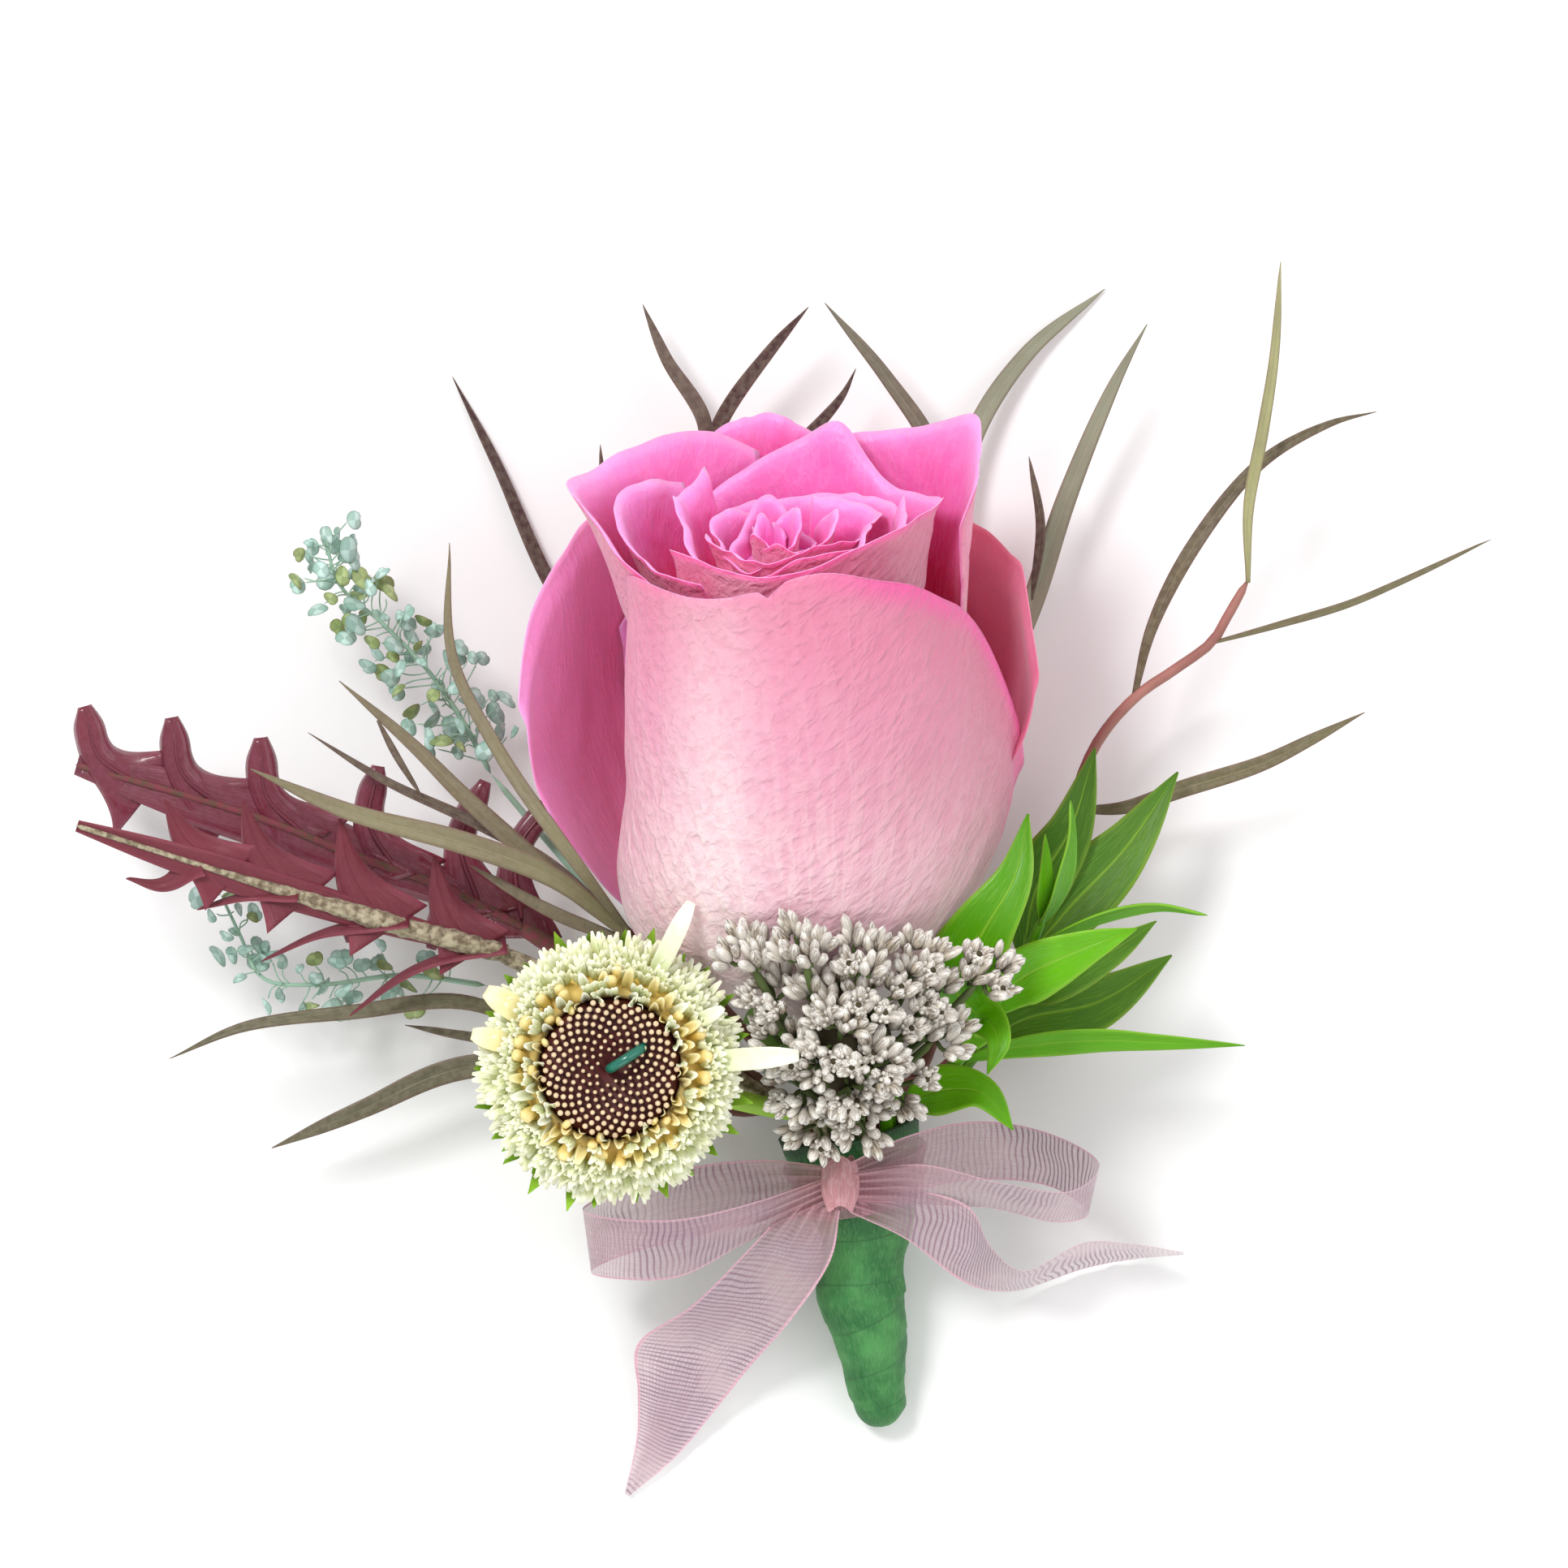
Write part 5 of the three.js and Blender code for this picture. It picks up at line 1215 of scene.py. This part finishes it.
def build_ruscus(node):
    """A stem with its pointed oval leaves."""
    kit = Kit()
    spray = RUSCUS[node]
    kit.tube(route(spray["seat"], spray["stem"]), taper(STEM_R, 0.35), sides=8, rows=28, tone=0.6)
    for tone, width, roll, *rib in spray["leaves"]:
        kit.blade(rib, width, "ovate", roll, spray["fold"], 30, 12, tone, 0, ripple=0.06)
    # the back spray, under the front one, gets a darker copy of the green: painted shade
    base = colours().ruscus if node == "ruscus_front" else rgb(88, 138, 34)
    green = leaf_material(
        spray["name"] + "_green", base, rgb(*spray["dark"]), rgb(186, 220, 84), rgb(150, 196, 60),
        spray["roughness"], rim_share=0.28, Specular_IOR_Level=0.3,
    )
    kit.finish(spray["name"], node, [green], sizes().leaf_thickness)


AGONIS_NARROW = 0.78  # the leaves' widths as shares of those of their solids, which the table lists
BARK = (112, 74, 60)
# colours: light, dark and vein
AGONIS = {
    "agonis_top_left": dict(
        seat=-78, colours=((112, 96, 84), (62, 30, 34), (110, 84, 78)),
        stem=[
            (1, -27, 3.4), (-8, -19, 2.2), (-15, -8, 1.8), (-16.6, 5, 2), (-14.4, 20, 2.6),
            (-10, 33, 4),
        ],
        leaves=[
            (0.6, 2, 20, (-10.6, 31.4, 4), (-9.4, 38.2, 5.4), (-13.2, 44.8, 5), (-15.5, 50.2, 4)),
            (0, 2, -16, (-10.6, 31.4, 4), (-7.4, 39.2, 6.4), (-2.8, 45.6, 8), (0.9, 49.9, 9)),
            (0, 1.9, 10, (-11.6, 28, 3.4), (-3.4, 33.4, 6.2), (4, 40.8, 7.4), (5.6, 43.8, 7.6)),
            (0, 1.8, 14, (-16, 10, 2.2), (-24.4, 22, 1.6), (-30, 34.4, 0.8), (-34.4, 43.1, 0.1)),
            (0.8, 1.6, 30, (-14.8, 18, 2.6), (-19, 28, 5), (-19.7, 36.3, 6.6)),
        ],
    ),
    "agonis_top_right": dict(
        seat=-52, colours=((150, 154, 130), (74, 60, 52), (176, 178, 152)),
        stem=[(11, -27, 3.8), (15, -16, 2.4), (17, -4, 2), (17, 10, 2.6), (15, 24, 3.6)],
        leaves=[
            (0.45, 2.2, -10, (15.2, 22.6, 3.6), (13.6, 35, 6), (8.6, 43, 8), (2.5, 50.3, 9)),
            (0.95, 2.5, 6, (15.2, 22.6, 3.6), (16.8, 36, 3), (22.4, 45.2, 1.4), (30.3, 51.8, 0.1)),
            (0.9, 2.8, 12, (17, 6, 2.6), (22.8, 20, 4), (26.4, 31, 5.6), (31, 42, 7.4),
             (34.4, 48.2, 8.4)),
            (0, 1.3, -20, (23, 21, 4.2), (23.9, 28.2, 6.6), (22.7, 35.1, 8)),
        ],
    ),
    "agonis_right_spray": dict(
        seat=-26, colours=((176, 176, 122), (84, 72, 54), (170, 164, 116)), bark=(160, 108, 98),
        stem=[
            (13, -26.4, 6), (20.6, -18, 5.6), (25, -6, 7), (29.1, 6.2, 9), (33.2, 11.3, 10.4),
            (37.2, 14.1, 11.4), (40.8, 16.8, 12.4), (42.3, 19.3, 12.8), (44.5, 23.2, 13.4),
        ],
        leaves=[
            (1, 1.7, 24, (44.3, 22.6, 13.4), (44.3, 30, 14.6), (45.7, 37.8, 16), (46.8, 44.9, 16.6),
             (47.5, 54.3, 16.6)),
            (0, 1.9, -10, (33, 11, 10.4), (34.9, 18.3, 11.4), (39.3, 26.7, 12), (45.7, 34.5, 12.4),
             (52.4, 38.3, 12.4), (57, 39.5, 12)),
            (0.25, 1.1, 30, (40.6, 16.6, 12.4), (47.4, 18.5, 12.8), (54.1, 20.5, 12.6),
             (59.1, 22.6, 12), (68.4, 26.9, 10)),
            (0.2, 2.3, 16, (27, 0.2, 7.8), (32, 0.4, 8), (38.2, 2.4, 9), (45.7, 4.8, 10),
             (50.7, 7.2, 10.4), (55.9, 9.8, 10.4)),
        ],
    ),
    "agonis_left": dict(
        seat=154, colours=((138, 132, 96), (88, 70, 66), (166, 158, 120)),
        stem=[(-4, -26.6, 13.6), (-11, -19, 16.8), (-17.6, -11, 20)],
        leaves=[
            (0.8, 1.9, -18, (-16.4, -12.4, 19.6), (-21.7, -5.3, 25.4), (-29.4, 5.7, 23.4),
             (-34.2, 15.4, 20.8), (-34.5, 26.5, 20)),
            (0.6, 2.3, 14, (-15.6, -13.4, 19.2), (-24.2, -6.4, 19.6), (-32.9, 1.3, 19),
             (-38.2, 6.6, 18.4), (-45.4, 12.9, 18)),
            (0, 1.5, 10, (-15.6, -13.4, 19.2), (-24, -5.6, 17.4), (-32, -1.1, 16.4), (-40.8, 3, 16),
             (-48.5, 7.8, 16.4)),
            (0.9, 2.9, -8, (-16, -13, 19.4), (-24, -6.6, 22.6), (-32.9, -3.1, 23.4), (-44.3, 0, 22.6),
             (-54.1, 4.2, 21)),
            (0.4, 1.7, 10, (-15.6, -13.4, 19.2), (-24.2, -10, 19.6), (-32.5, -5.3, 19.4)),
            (0.1, 0.9, 0, (-41.6, 9, 18.6), (-39.8, 5.6, 18), (-37.2, 1.4, 17)),
        ],
    ),
    "agonis_low_left": dict(
        seat=-128, colours=((112, 110, 82), (64, 56, 44), (140, 136, 100)),
        stem=[(-6, -29.6, 6), (-16, -26, 8.4), (-25, -22.6, 10.4)],
        leaves=[
            (0.6, 2, 12, (-22, -23.6, 9.8), (-32.9, -18.9, 12.6), (-43.8, -19.8, 13.4),
             (-54.9, -21.3, 13), (-62.2, -24.4, 12)),
            (0.5, 3, -12, (-20, -24.4, 9.6), (-34.2, -25.5, 9.4), (-43, -29.3, 8.4), (-52.2, -33.3, 7)),
            (0.1, 1.4, 0, (-22, -23.6, 9.8), (-32.9, -22.2, 10.6), (-39, -21.1, 10.6)),
        ],
    ),
}


def build_agonis(node):
    """One spray of narrow leaves on its stem."""
    kit = Kit()
    spray = AGONIS[node]
    kit.tube(route(spray["seat"], spray["stem"]), taper(STEM_R, 0.34), sides=8, rows=44, material=1)
    for tone, width, roll, *rib in spray["leaves"]:
        kit.blade(rib, AGONIS_NARROW * width, "strap", roll, 0.25, 40, 6, tone, 0, ripple=0.05)
    light, dark, vein = (rgb(*c) for c in spray["colours"])
    rim = rgb(110, 84, 74)
    leaf = leaf_material(node + "_leaf", light, dark, rim, vein, 0.45, colours().agonis)
    twig = plain_material(node + "_twig", rgb(*spray.get("bark", BARK)), rgb(90, 48, 40), 0.55)
    kit.finish(node + "_leaves", node, [leaf, twig], sizes().leaf_thickness)


# Each lobe of a grevillea leaf is (root, tip, width, bend, turn). back: its underside is seen.
GREVILLEA = {
    "grevillea_upper": dict(
        back=False, width=5.6, roll=0, seat=180,
        rib=[
            (-71.4, 4.6, 12), (-61.4, 1.8, 12.6), (-52.6, -0.9, 12.6), (-43.8, -4.4, 12.4),
            (-35.1, -7.5, 12), (-27, -11.6, 11.4),
        ],
        stalk=[(-4, -27.4, 9.6), (-16, -19, 10.4), (-28, -11, 11.4)],
        lobes=[
            ((-65, 2.6, 12.2), (-70.6, 10.4, 13.4), 4.4, 0.18, 0),
            ((-56.6, 0.2, 12.4), (-62, 9.3, 13.8), 4.2, 0.18, 0),
            ((-48.4, -2.6, 12.4), (-53.2, 7.3, 13.8), 4.4, 0.18, 0),
            ((-39.6, -6, 12.2), (-41.6, 4.5, 13.4), 4, 0.18, 0),
            ((-31.6, -9.2, 11.8), (-31, 3, 12.4), 3.8, 0.18, 0),
            ((-27.4, -11, 11.4), (-23.8, 1.8, 11.6), 3.4, 0.18, 0),
            ((-50.6, -1.6, 12.4), (-51.6, -9.4, 11.6), 3.4, -0.1, 0),
            ((-42, -5, 12.4), (-44.3, -13, 11.4), 3.4, -0.1, 0),
            ((-33.6, -8.2, 12), (-36.4, -13.6, 11.4), 3, -0.1, 0),
        ],
    ),
    "grevillea_lower": dict(
        back=True, width=3.4, roll=10, seat=128,
        rib=[
            (-71.2, -1.4, 19.6), (-61.8, -4.4, 20), (-54.9, -6.6, 19.8), (-41.7, -10.6, 19),
            (-28.5, -14.2, 18),
        ],
        stalk=[(-4, -27.6, 14.6), (-15, -20.4, 16.8), (-30, -13.8, 18)],
        lobes=[
            ((-56.6, -5.8, 19.8), (-62.6, 1.2, 20.6), 3.6, 0.1, 0),
            ((-49.6, -8, 19.4), (-54.9, 1, 20.4), 4, 0.1, 0),
            ((-41, -10.6, 19), (-45.3, -0.7, 19.8), 4, 0.1, 0),
            ((-32.4, -13, 18.2), (-36, -4.4, 18.8), 3.6, 0.1, 0),
            ((-50.4, -8, 19.4), (-59.4, -9.7, 18), 1.8, -0.06, 60),
            ((-40, -11, 19), (-53.1, -14.8, 17), 1.8, -0.08, 60),
            ((-30.6, -13.6, 18), (-44.4, -20.2, 17), 1.8, -0.1, 60),
            ((-60, -5, 19.8), (-66.4, -6.6, 18.6), 1.8, 0.2, 30),
        ],
    ),
}


def build_grevillea(node):
    """A deeply lobed leaf with a raised midrib and rolled edges."""
    kit = Kit()
    draw = random.Random(15).random
    leaf = GREVILLEA[node]
    back = leaf["back"]
    kit.blade(leaf["rib"], leaf["width"], "strap", leaf["roll"], 0.1, 50, 8, curl=0.3)
    raised = [Vector(p) + UP * 0.2 for p in leaf["rib"]]
    thick = (0.12, 0.85) if back else (0.2, 0.3)
    kit.tube(raised, lambda u: lerp(*thick, ease(2 * u - 0.5)), 10, 90, material=1, rough=0.3)
    for root, tip, width, bend, turn in leaf["lobes"]:
        a, b = Vector(root), Vector(tip)
        middle = a.lerp(b, 0.5) + Vector((a.y - b.y, b.x - a.x, 0)) * bend
        rib = [a + (a - b) * 0.12, middle, b]
        shape = "tooth" if back else "finger"
        kit.blade(rib, width, shape, turn, 0.0, 26, 8, lerp(0.45, 0.6, draw()), ripple=0.12, curl=0.45)
        if not back:
            vein = [a + UP * 0.12, middle + UP * 0.12, b.lerp(middle, 0.2)]
            kit.tube(vein, taper(0.16, 0.06), 6, 14, tone=0.2, material=2)
    kit.tube(route(leaf["seat"], leaf["stalk"]), taper(STEM_R, 0.75), 10, 30, material=1)
    red = leaf_material(
        node + "_red", colours().grevillea, rgb(84, 26, 42), rgb(186, 104, 122), rgb(98, 34, 50),
        0.55 if back else 0.3,
        rgb(116, 52, 58) if back else rgb(136, 66, 92),
        0.25 if back else 0.1,
        Coat_Weight=0.0 if back else 0.4,
    )
    light = rgb(168, 158, 132) if back else rgb(120, 54, 66)
    rib = plain_material(node + "_rib", light, rgb(84, 68, 52), 0.85, blotch=1500.0, depth=0.9)
    vein = plain_material(node + "_vein", rgb(112, 48, 62), rgb(76, 26, 40), 0.4)
    materials = [red, rib, vein]
    kit.finish(node + "_leaf", node, materials, sizes().leaf_thickness)


# foot: the line of the stem; line: of the twig; reach and flat: how far and how flat the pods spread;
# start: where on the twig they begin; share: of the number of pods that is set
PEPPERGRASS = {
    "peppergrass_upper": dict(
        seat=-102, seed=3, reach=5.4, flat=0.45, start=0.04, share=1,
        foot=[(-5, -24.6, 5.2), (-15, -14, 6), (-24, -4, 7), (-30.5, 3.7, 8)],
        line=[
            (-30.5, 3.7, 8), (-33.2, 8.8, 9.6), (-36.6, 13.8, 11), (-41.3, 18.7, 12.4),
            (-45.4, 22.4, 13.4), (-46.9, 27.4, 14),
        ],
    ),
    "peppergrass_lower": dict(
        seat=-154, seed=5, reach=3.2, flat=0.25, start=0.1, share=0.5,
        foot=[(-6, -27.2, 8.4), (-20, -21.4, 8.6), (-31, -17.2, 8.6)],
        line=[
            (-31, -17.2, 8.6), (-39.2, -16.2, 9), (-47.1, -17.1, 9.4), (-53, -16.5, 9.6),
            (-55.4, -12, 9.8), (-57.2, -8.2, 10),
        ],
    ),
}
OLIVE_SHARE = 0.2  # of the pods, how many are olive


def pod(kit, root, tip, out, size, draw):
    """A flat round pod with a swollen middle and a thin rim, notched at its end, on its stalk."""
    bend = Vector((draw() - 0.5, draw() - 0.5, 0.4))
    kit.tube([root, root.lerp(tip, 0.5) + bend, tip], lambda u: 0.08, 5, 8, material=1)
    middle = tip + out.normalized() * size * 0.8
    tilt = Quaternion((1, 0, 0), 2.2 * (draw() - 0.5))
    tilt = tilt @ Quaternion((0, 1, 0), 2.2 * (draw() - 0.5))
    spin = atan2(out.y, out.x)

    def point_at(u, angle):
        share = 0.0 if u in (0.0, 1.0) else sin(pi * u)
        notch = 1 - 0.2 * exp(-9 * angle * angle)
        radius = size * notch * share**0.6 * (1 - 0.12 * cos(2 * angle))
        height = 0.2 * cos(pi * u) * (1 - 0.8 * share**2)
        height += 0.12 * sin(2 * angle) * share
        at = Vector((radius * cos(angle + spin), radius * sin(angle + spin), height))
        return middle + tilt @ at

    def rim_at(u, v):
        return ease(sin(pi * u) * 4 - 3)

    kit.round(14, 6, point_at, draw(), 2 if draw() < OLIVE_SHARE else 0, rim_at)


def build_peppergrass(node):
    """A spray of round pods on thin stalks round its twig."""
    kit = Kit()
    spray = PEPPERGRASS[node]
    draw = random.Random(spray["seed"]).random
    kit.tube(route(spray["seat"], spray["foot"]), taper(STEM_R, 0.3), 8, 24, material=1)
    line = Line(spray["line"])
    kit.tube(line, taper(0.3, 0.16), 7, 40, material=1)
    count = int(sizes().pods * spray["share"])
    for i in range(count):
        u = spray["start"] + (1 - spray["start"]) * (i + 3 * draw() - 1) / count
        tangent = line.tangent(u)
        side = Quaternion(tangent, i * GOLDEN_ANGLE) @ tangent.cross(UP).normalized()
        side.z *= spray["flat"]
        reach = spray["reach"] * (0.2 + 0.75 * draw()) * (1 - 0.3 * u)
        root = line.place(u)
        tip = root + side * reach + tangent * reach * 0.5
        pod(kit, root, tip, side, 0.6 + 0.65 * draw(), draw)
    mint = pod_material(node + "_mint", colours().pod, rgb(214, 234, 230), rgb(84, 132, 108))
    olive = pod_material(node + "_olive", rgb(150, 172, 108), rgb(190, 206, 150), rgb(96, 110, 56))
    stalk = plain_material(node + "_stalk", rgb(146, 182, 160), rgb(112, 128, 104), 0.6)
    kit.finish(node + "_pods", node, [mint, stalk, olive])


# Ribbon

# The two edges of each strip: left loop, right loop, right tail, left tail
STRIPS = [
    ([(3, -35, 17), (-4, -34.4, 13.6), (-12, -35.4, 12), (-19, -37.8, 12.6), (-21.4, -39.2, 15),
      (-19, -40, 18), (-12, -40.2, 19.4), (-4, -38.4, 18.6), (3, -36, 17)],
     [(3, -38.4, 14.4), (-4, -40.6, 9.6), (-12, -42.4, 5.8), (-18.6, -44.4, 5.6), (-20.6, -45.6, 8.4),
      (-18, -46.2, 11.6), (-12, -46, 13), (-5, -42.4, 14.4), (3, -38.6, 15.6)]),
    ([(5, -34.6, 17.2), (11, -31.9, 15), (18, -30.6, 12.6), (25, -31.9, 13), (29.6, -34.8, 16.4),
      (26.8, -37.4, 20), (20, -36.6, 20.8), (12, -34.8, 19.4), (5, -35.6, 17)],
     [(5, -38, 15), (11, -37.4, 12.8), (18, -36.4, 7.4), (25, -37.2, 6.2), (28.6, -39.8, 9.4),
      (25.6, -40.6, 12.6), (19, -39.2, 13), (12, -38.8, 13.8), (5, -38.4, 15.6)]),
    ([(5, -36.4, 15), (11, -37.2, 15.6), (16.7, -39, 14.6), (18.9, -43, 12), (22, -45.4, 10.6),
      (28.3, -42.6, 9.6), (33, -42.8, 9), (38, -43.6, 6)],
     [(5, -39.6, 14), (10.6, -42.3, 12.2), (15.5, -46.1, 9), (18.6, -47.4, 4.4), (22, -47.4, 1.4),
      (28.3, -45.3, 0.7), (33, -44.4, 0.6), (38, -43.9, 4)]),
    ([(-0.6, -38.4, 15.6), (-5.3, -43.5, 14.4), (-10.6, -48.8, 10.2), (-16.1, -52.9, 5.4),
      (-16, -57.5, 3), (-16.1, -62, 1.4), (-17.3, -67.6, 0.6)],
     [(4, -39.4, 15.6), (3.2, -44, 13.8), (-0.7, -50.1, 9.6), (-4.9, -55, 5), (-8.5, -59.5, 2.4),
      (-12.2, -63.9, 1.1), (-16.9, -67.9, 0.6)]),
]
LOOPS = 2  # the first strips are loops, which come back to the knot
WEAVE_LENGTH = 60  # mm of ribbon that the weave's threads are counted on
BAND_AT = 0.135  # where the turn round the handle lies, as a share of the handle's line
KNOT = Vector((4, -36.7, 16.8))


def strip(kit, number, a, b):
    """One loop or tail, between the lines of its two edges."""
    looped = number < LOOPS

    def point_at(u, v):
        at = a.at(u).lerp(b.at(u), (v + 1) / 2)
        pinch = ease(u * 5) * (ease((1 - u) * 5) if looped else 1)
        ripple = 0.5 * sin(v * 13 + u * 5 + number) * (1 - pinch)
        ripple += 0.35 * noise.noise(Vector((v * 1.2 + u * 6, u * 26, number * 7.0))) * pinch
        ripple += 0.3 * noise.noise(Vector((v * 1.8, u * 14, number * 4.0)))
        return at + UP * ripple

    def near_knot(u, v):
        return max(ease(1 - 6 * u), ease(6 * u - 5) * looped)

    faces = kit.grid(28, 110, point_at, 0.0, 0, near_knot)[1]
    for loop in (loop for face in faces for loop in face.loops):
        loop[kit.uv].uv.y *= a.length / WEAVE_LENGTH


def build_ribbon():
    """Two loops, two tails, the turn round the handle and the knot, all of one sheer ribbon."""
    kit = Kit()
    for number, (upper, lower) in enumerate(STRIPS):
        strip(kit, number, Line(upper), Line(lower))
    middle = HANDLE.at(BAND_AT)
    axis = (HANDLE.at(BAND_AT + 0.01) - HANDLE.at(BAND_AT - 0.01)).normalized()
    side = axis.cross(UP).normalized()
    back = -side.cross(axis)

    def band_point(u, v):
        radius = 7.2 - 1.1 * u + 0.12 * sin(14 * u)
        return ringed(middle + axis * 2.4 * (2 * u - 1), back, side, pi * 1.04 * v, radius)

    def knot_point(u, v):
        angle = pi * 0.98 * v
        across = 2 * u - 1
        folds = 1 + 0.06 * sin(9 * angle + 2 * across)
        width = (1 - 0.3 * across * across) * (folds + 0.2 * noise.noise(Vector((angle, across, 3))))
        along = 2.5 * across + 0.3 * cos(3 * angle)
        return KNOT + Vector((1.9 * width * sin(angle), along, 1.6 * width * cos(angle)))

    kit.grid(60, 12, band_point, 0.5)
    kit.grid(72, 24, knot_point, 0.85)
    ribbon = kit.finish("organza_ribbon", "ribbon_bow", [organza_material()])


# Stage

PICTURE = 0.15456  # how much the camera sees, at the height of the flowers' middle
SENSOR = 36
LENS = 800
MIDDLE_Z = 0.02  # height that the lights and the camera look at
# Soft lights: name, place, size and power
LIGHTS = [
    ("key", (-0.5, 0.55, 1.1), 0.4, 10),
    ("fill", (0.7, 0.1, 0.9), 0.9, 2.6),
    ("low", (0.1, -0.9, 0.6), 0.8, 2),
]


def build_stage():
    """The pale surface, soft lights and the camera that looks straight down."""
    scene = bpy.context.scene
    bm = bmesh.new()
    bmesh.ops.create_grid(bm, x_segments=1, y_segments=1, size=3)
    mesh = bpy.data.meshes.new("surface")
    bm.to_mesh(mesh)
    bm.free()
    surface = add_object("surface", mesh)
    surface.location.z = -0.0002
    mesh.materials.append(Material("surface_white", 0.9, Base_Color=(0.9, 0.9, 0.9, 1)).material)

    for name, place, size, power in LIGHTS:
        data = bpy.data.lights.new(name, "AREA")
        data.shape = "DISK"
        data.size = size
        data.energy = power
        light = add_object(name, data)
        light.location = place
        aim = Vector((0, 0, MIDDLE_Z)) - Vector(place)
        light.rotation_euler = aim.to_track_quat("-Z", "Y").to_euler()
    world = bpy.data.worlds.new("studio")
    world.use_nodes = True
    background = world.node_tree.nodes["Background"]
    background.inputs["Color"].default_value = (1, 1, 1, 1)
    background.inputs["Strength"].default_value = 0.7
    scene.world = world
    scene.view_settings.view_transform = "Standard"

    camera = add_object("camera", bpy.data.cameras.new("camera"))
    camera.data.lens = LENS
    camera.data.sensor_width = SENSOR
    camera.data.clip_end = 10
    camera.location = (-0.00152, 0.00272, MIDDLE_Z + PICTURE * LENS / SENSOR)
    scene.camera = camera


# Operators


class BOUTONNIERE_OT_rose(bpy.types.Operator):
    """Build the rose: its petals, hip, sepals and stem"""

    bl_idname = "boutonniere.rose"
    bl_label = "Rose"

    def execute(self, context):
        build_rose()
        build_rose_hip()
        return {"FINISHED"}


class BOUTONNIERE_OT_handle(bpy.types.Operator):
    """Build the taped handle"""

    bl_idname = "boutonniere.handle"
    bl_label = "Handle"

    def execute(self, context):
        build_handle()
        return {"FINISHED"}


class BOUTONNIERE_OT_germini(bpy.types.Operator):
    """Build the germini: its disc, florets, bracts, stem and wire"""

    bl_idname = "boutonniere.germini"
    bl_label = "Germini"

    def execute(self, context):
        build_germini_disc()
        build_germini_florets()
        build_germini_calyx()
        build_wire()
        return {"FINISHED"}


class BOUTONNIERE_OT_rice_flower(bpy.types.Operator):
    """Build the rice flower"""

    bl_idname = "boutonniere.rice_flower"
    bl_label = "Rice flower"

    def execute(self, context):
        build_rice_flower()
        return {"FINISHED"}


class BOUTONNIERE_OT_ruscus(bpy.types.Operator):
    """Build both stems of ruscus"""

    bl_idname = "boutonniere.ruscus"
    bl_label = "Ruscus"

    def execute(self, context):
        for node in RUSCUS:
            build_ruscus(node)
        return {"FINISHED"}


class BOUTONNIERE_OT_agonis(bpy.types.Operator):
    """Build the sprays of narrow leaves"""

    bl_idname = "boutonniere.agonis"
    bl_label = "Agonis"

    def execute(self, context):
        for node in AGONIS:
            build_agonis(node)
        return {"FINISHED"}


class BOUTONNIERE_OT_grevillea(bpy.types.Operator):
    """Build both toothed leaves"""

    bl_idname = "boutonniere.grevillea"
    bl_label = "Grevillea"

    def execute(self, context):
        for node in GREVILLEA:
            build_grevillea(node)
        return {"FINISHED"}


class BOUTONNIERE_OT_peppergrass(bpy.types.Operator):
    """Build both sprays of round pods"""

    bl_idname = "boutonniere.peppergrass"
    bl_label = "Peppergrass"

    def execute(self, context):
        for node in PEPPERGRASS:
            build_peppergrass(node)
        return {"FINISHED"}


class BOUTONNIERE_OT_ribbon(bpy.types.Operator):
    """Build the ribbon's bow"""

    bl_idname = "boutonniere.ribbon"
    bl_label = "Ribbon"

    def execute(self, context):
        build_ribbon()
        return {"FINISHED"}


class BOUTONNIERE_OT_stage(bpy.types.Operator):
    """Build the surface, the lights and the camera"""

    bl_idname = "boutonniere.stage"
    bl_label = "Stage"

    def execute(self, context):
        build_stage()
        return {"FINISHED"}


OPERATORS = (
    BOUTONNIERE_OT_rose,
    BOUTONNIERE_OT_handle,
    BOUTONNIERE_OT_germini,
    BOUTONNIERE_OT_rice_flower,
    BOUTONNIERE_OT_ruscus,
    BOUTONNIERE_OT_agonis,
    BOUTONNIERE_OT_grevillea,
    BOUTONNIERE_OT_peppergrass,
    BOUTONNIERE_OT_ribbon,
    BOUTONNIERE_OT_stage,
)


class BOUTONNIERE_PT_panel(bpy.types.Panel):
    """Lists the settings and the steps of the boutonniere."""

    bl_idname = "BOUTONNIERE_PT_panel"
    bl_label = "Boutonniere"
    bl_space_type = "VIEW_3D"
    bl_region_type = "UI"
    bl_category = "Boutonniere"

    def draw(self, context):
        for settings in (colours(), sizes()):
            column = self.layout.column()
            for name in settings.__annotations__:
                column.prop(settings, name)
        for step in OPERATORS:
            self.layout.operator(step.bl_idname)


CLASSES = (BoutonniereColours, BoutonniereSizes, *OPERATORS, BOUTONNIERE_PT_panel)


def register():
    for item in CLASSES:
        bpy.utils.register_class(item)
    bpy.types.Scene.boutonniere_colours = bpy.props.PointerProperty(type=BoutonniereColours)
    bpy.types.Scene.boutonniere_sizes = bpy.props.PointerProperty(type=BoutonniereSizes)


def unregister():
    del bpy.types.Scene.boutonniere_sizes
    del bpy.types.Scene.boutonniere_colours
    for item in reversed(CLASSES):
        bpy.utils.unregister_class(item)


def main():
    register()
    bpy.ops.boutonniere.rose()
    bpy.ops.boutonniere.handle()
    bpy.ops.boutonniere.germini()
    bpy.ops.boutonniere.rice_flower()
    bpy.ops.boutonniere.ruscus()
    bpy.ops.boutonniere.agonis()
    bpy.ops.boutonniere.grevillea()
    bpy.ops.boutonniere.peppergrass()
    bpy.ops.boutonniere.ribbon()
    bpy.ops.boutonniere.stage()


if __name__ == "__main__":
    main()
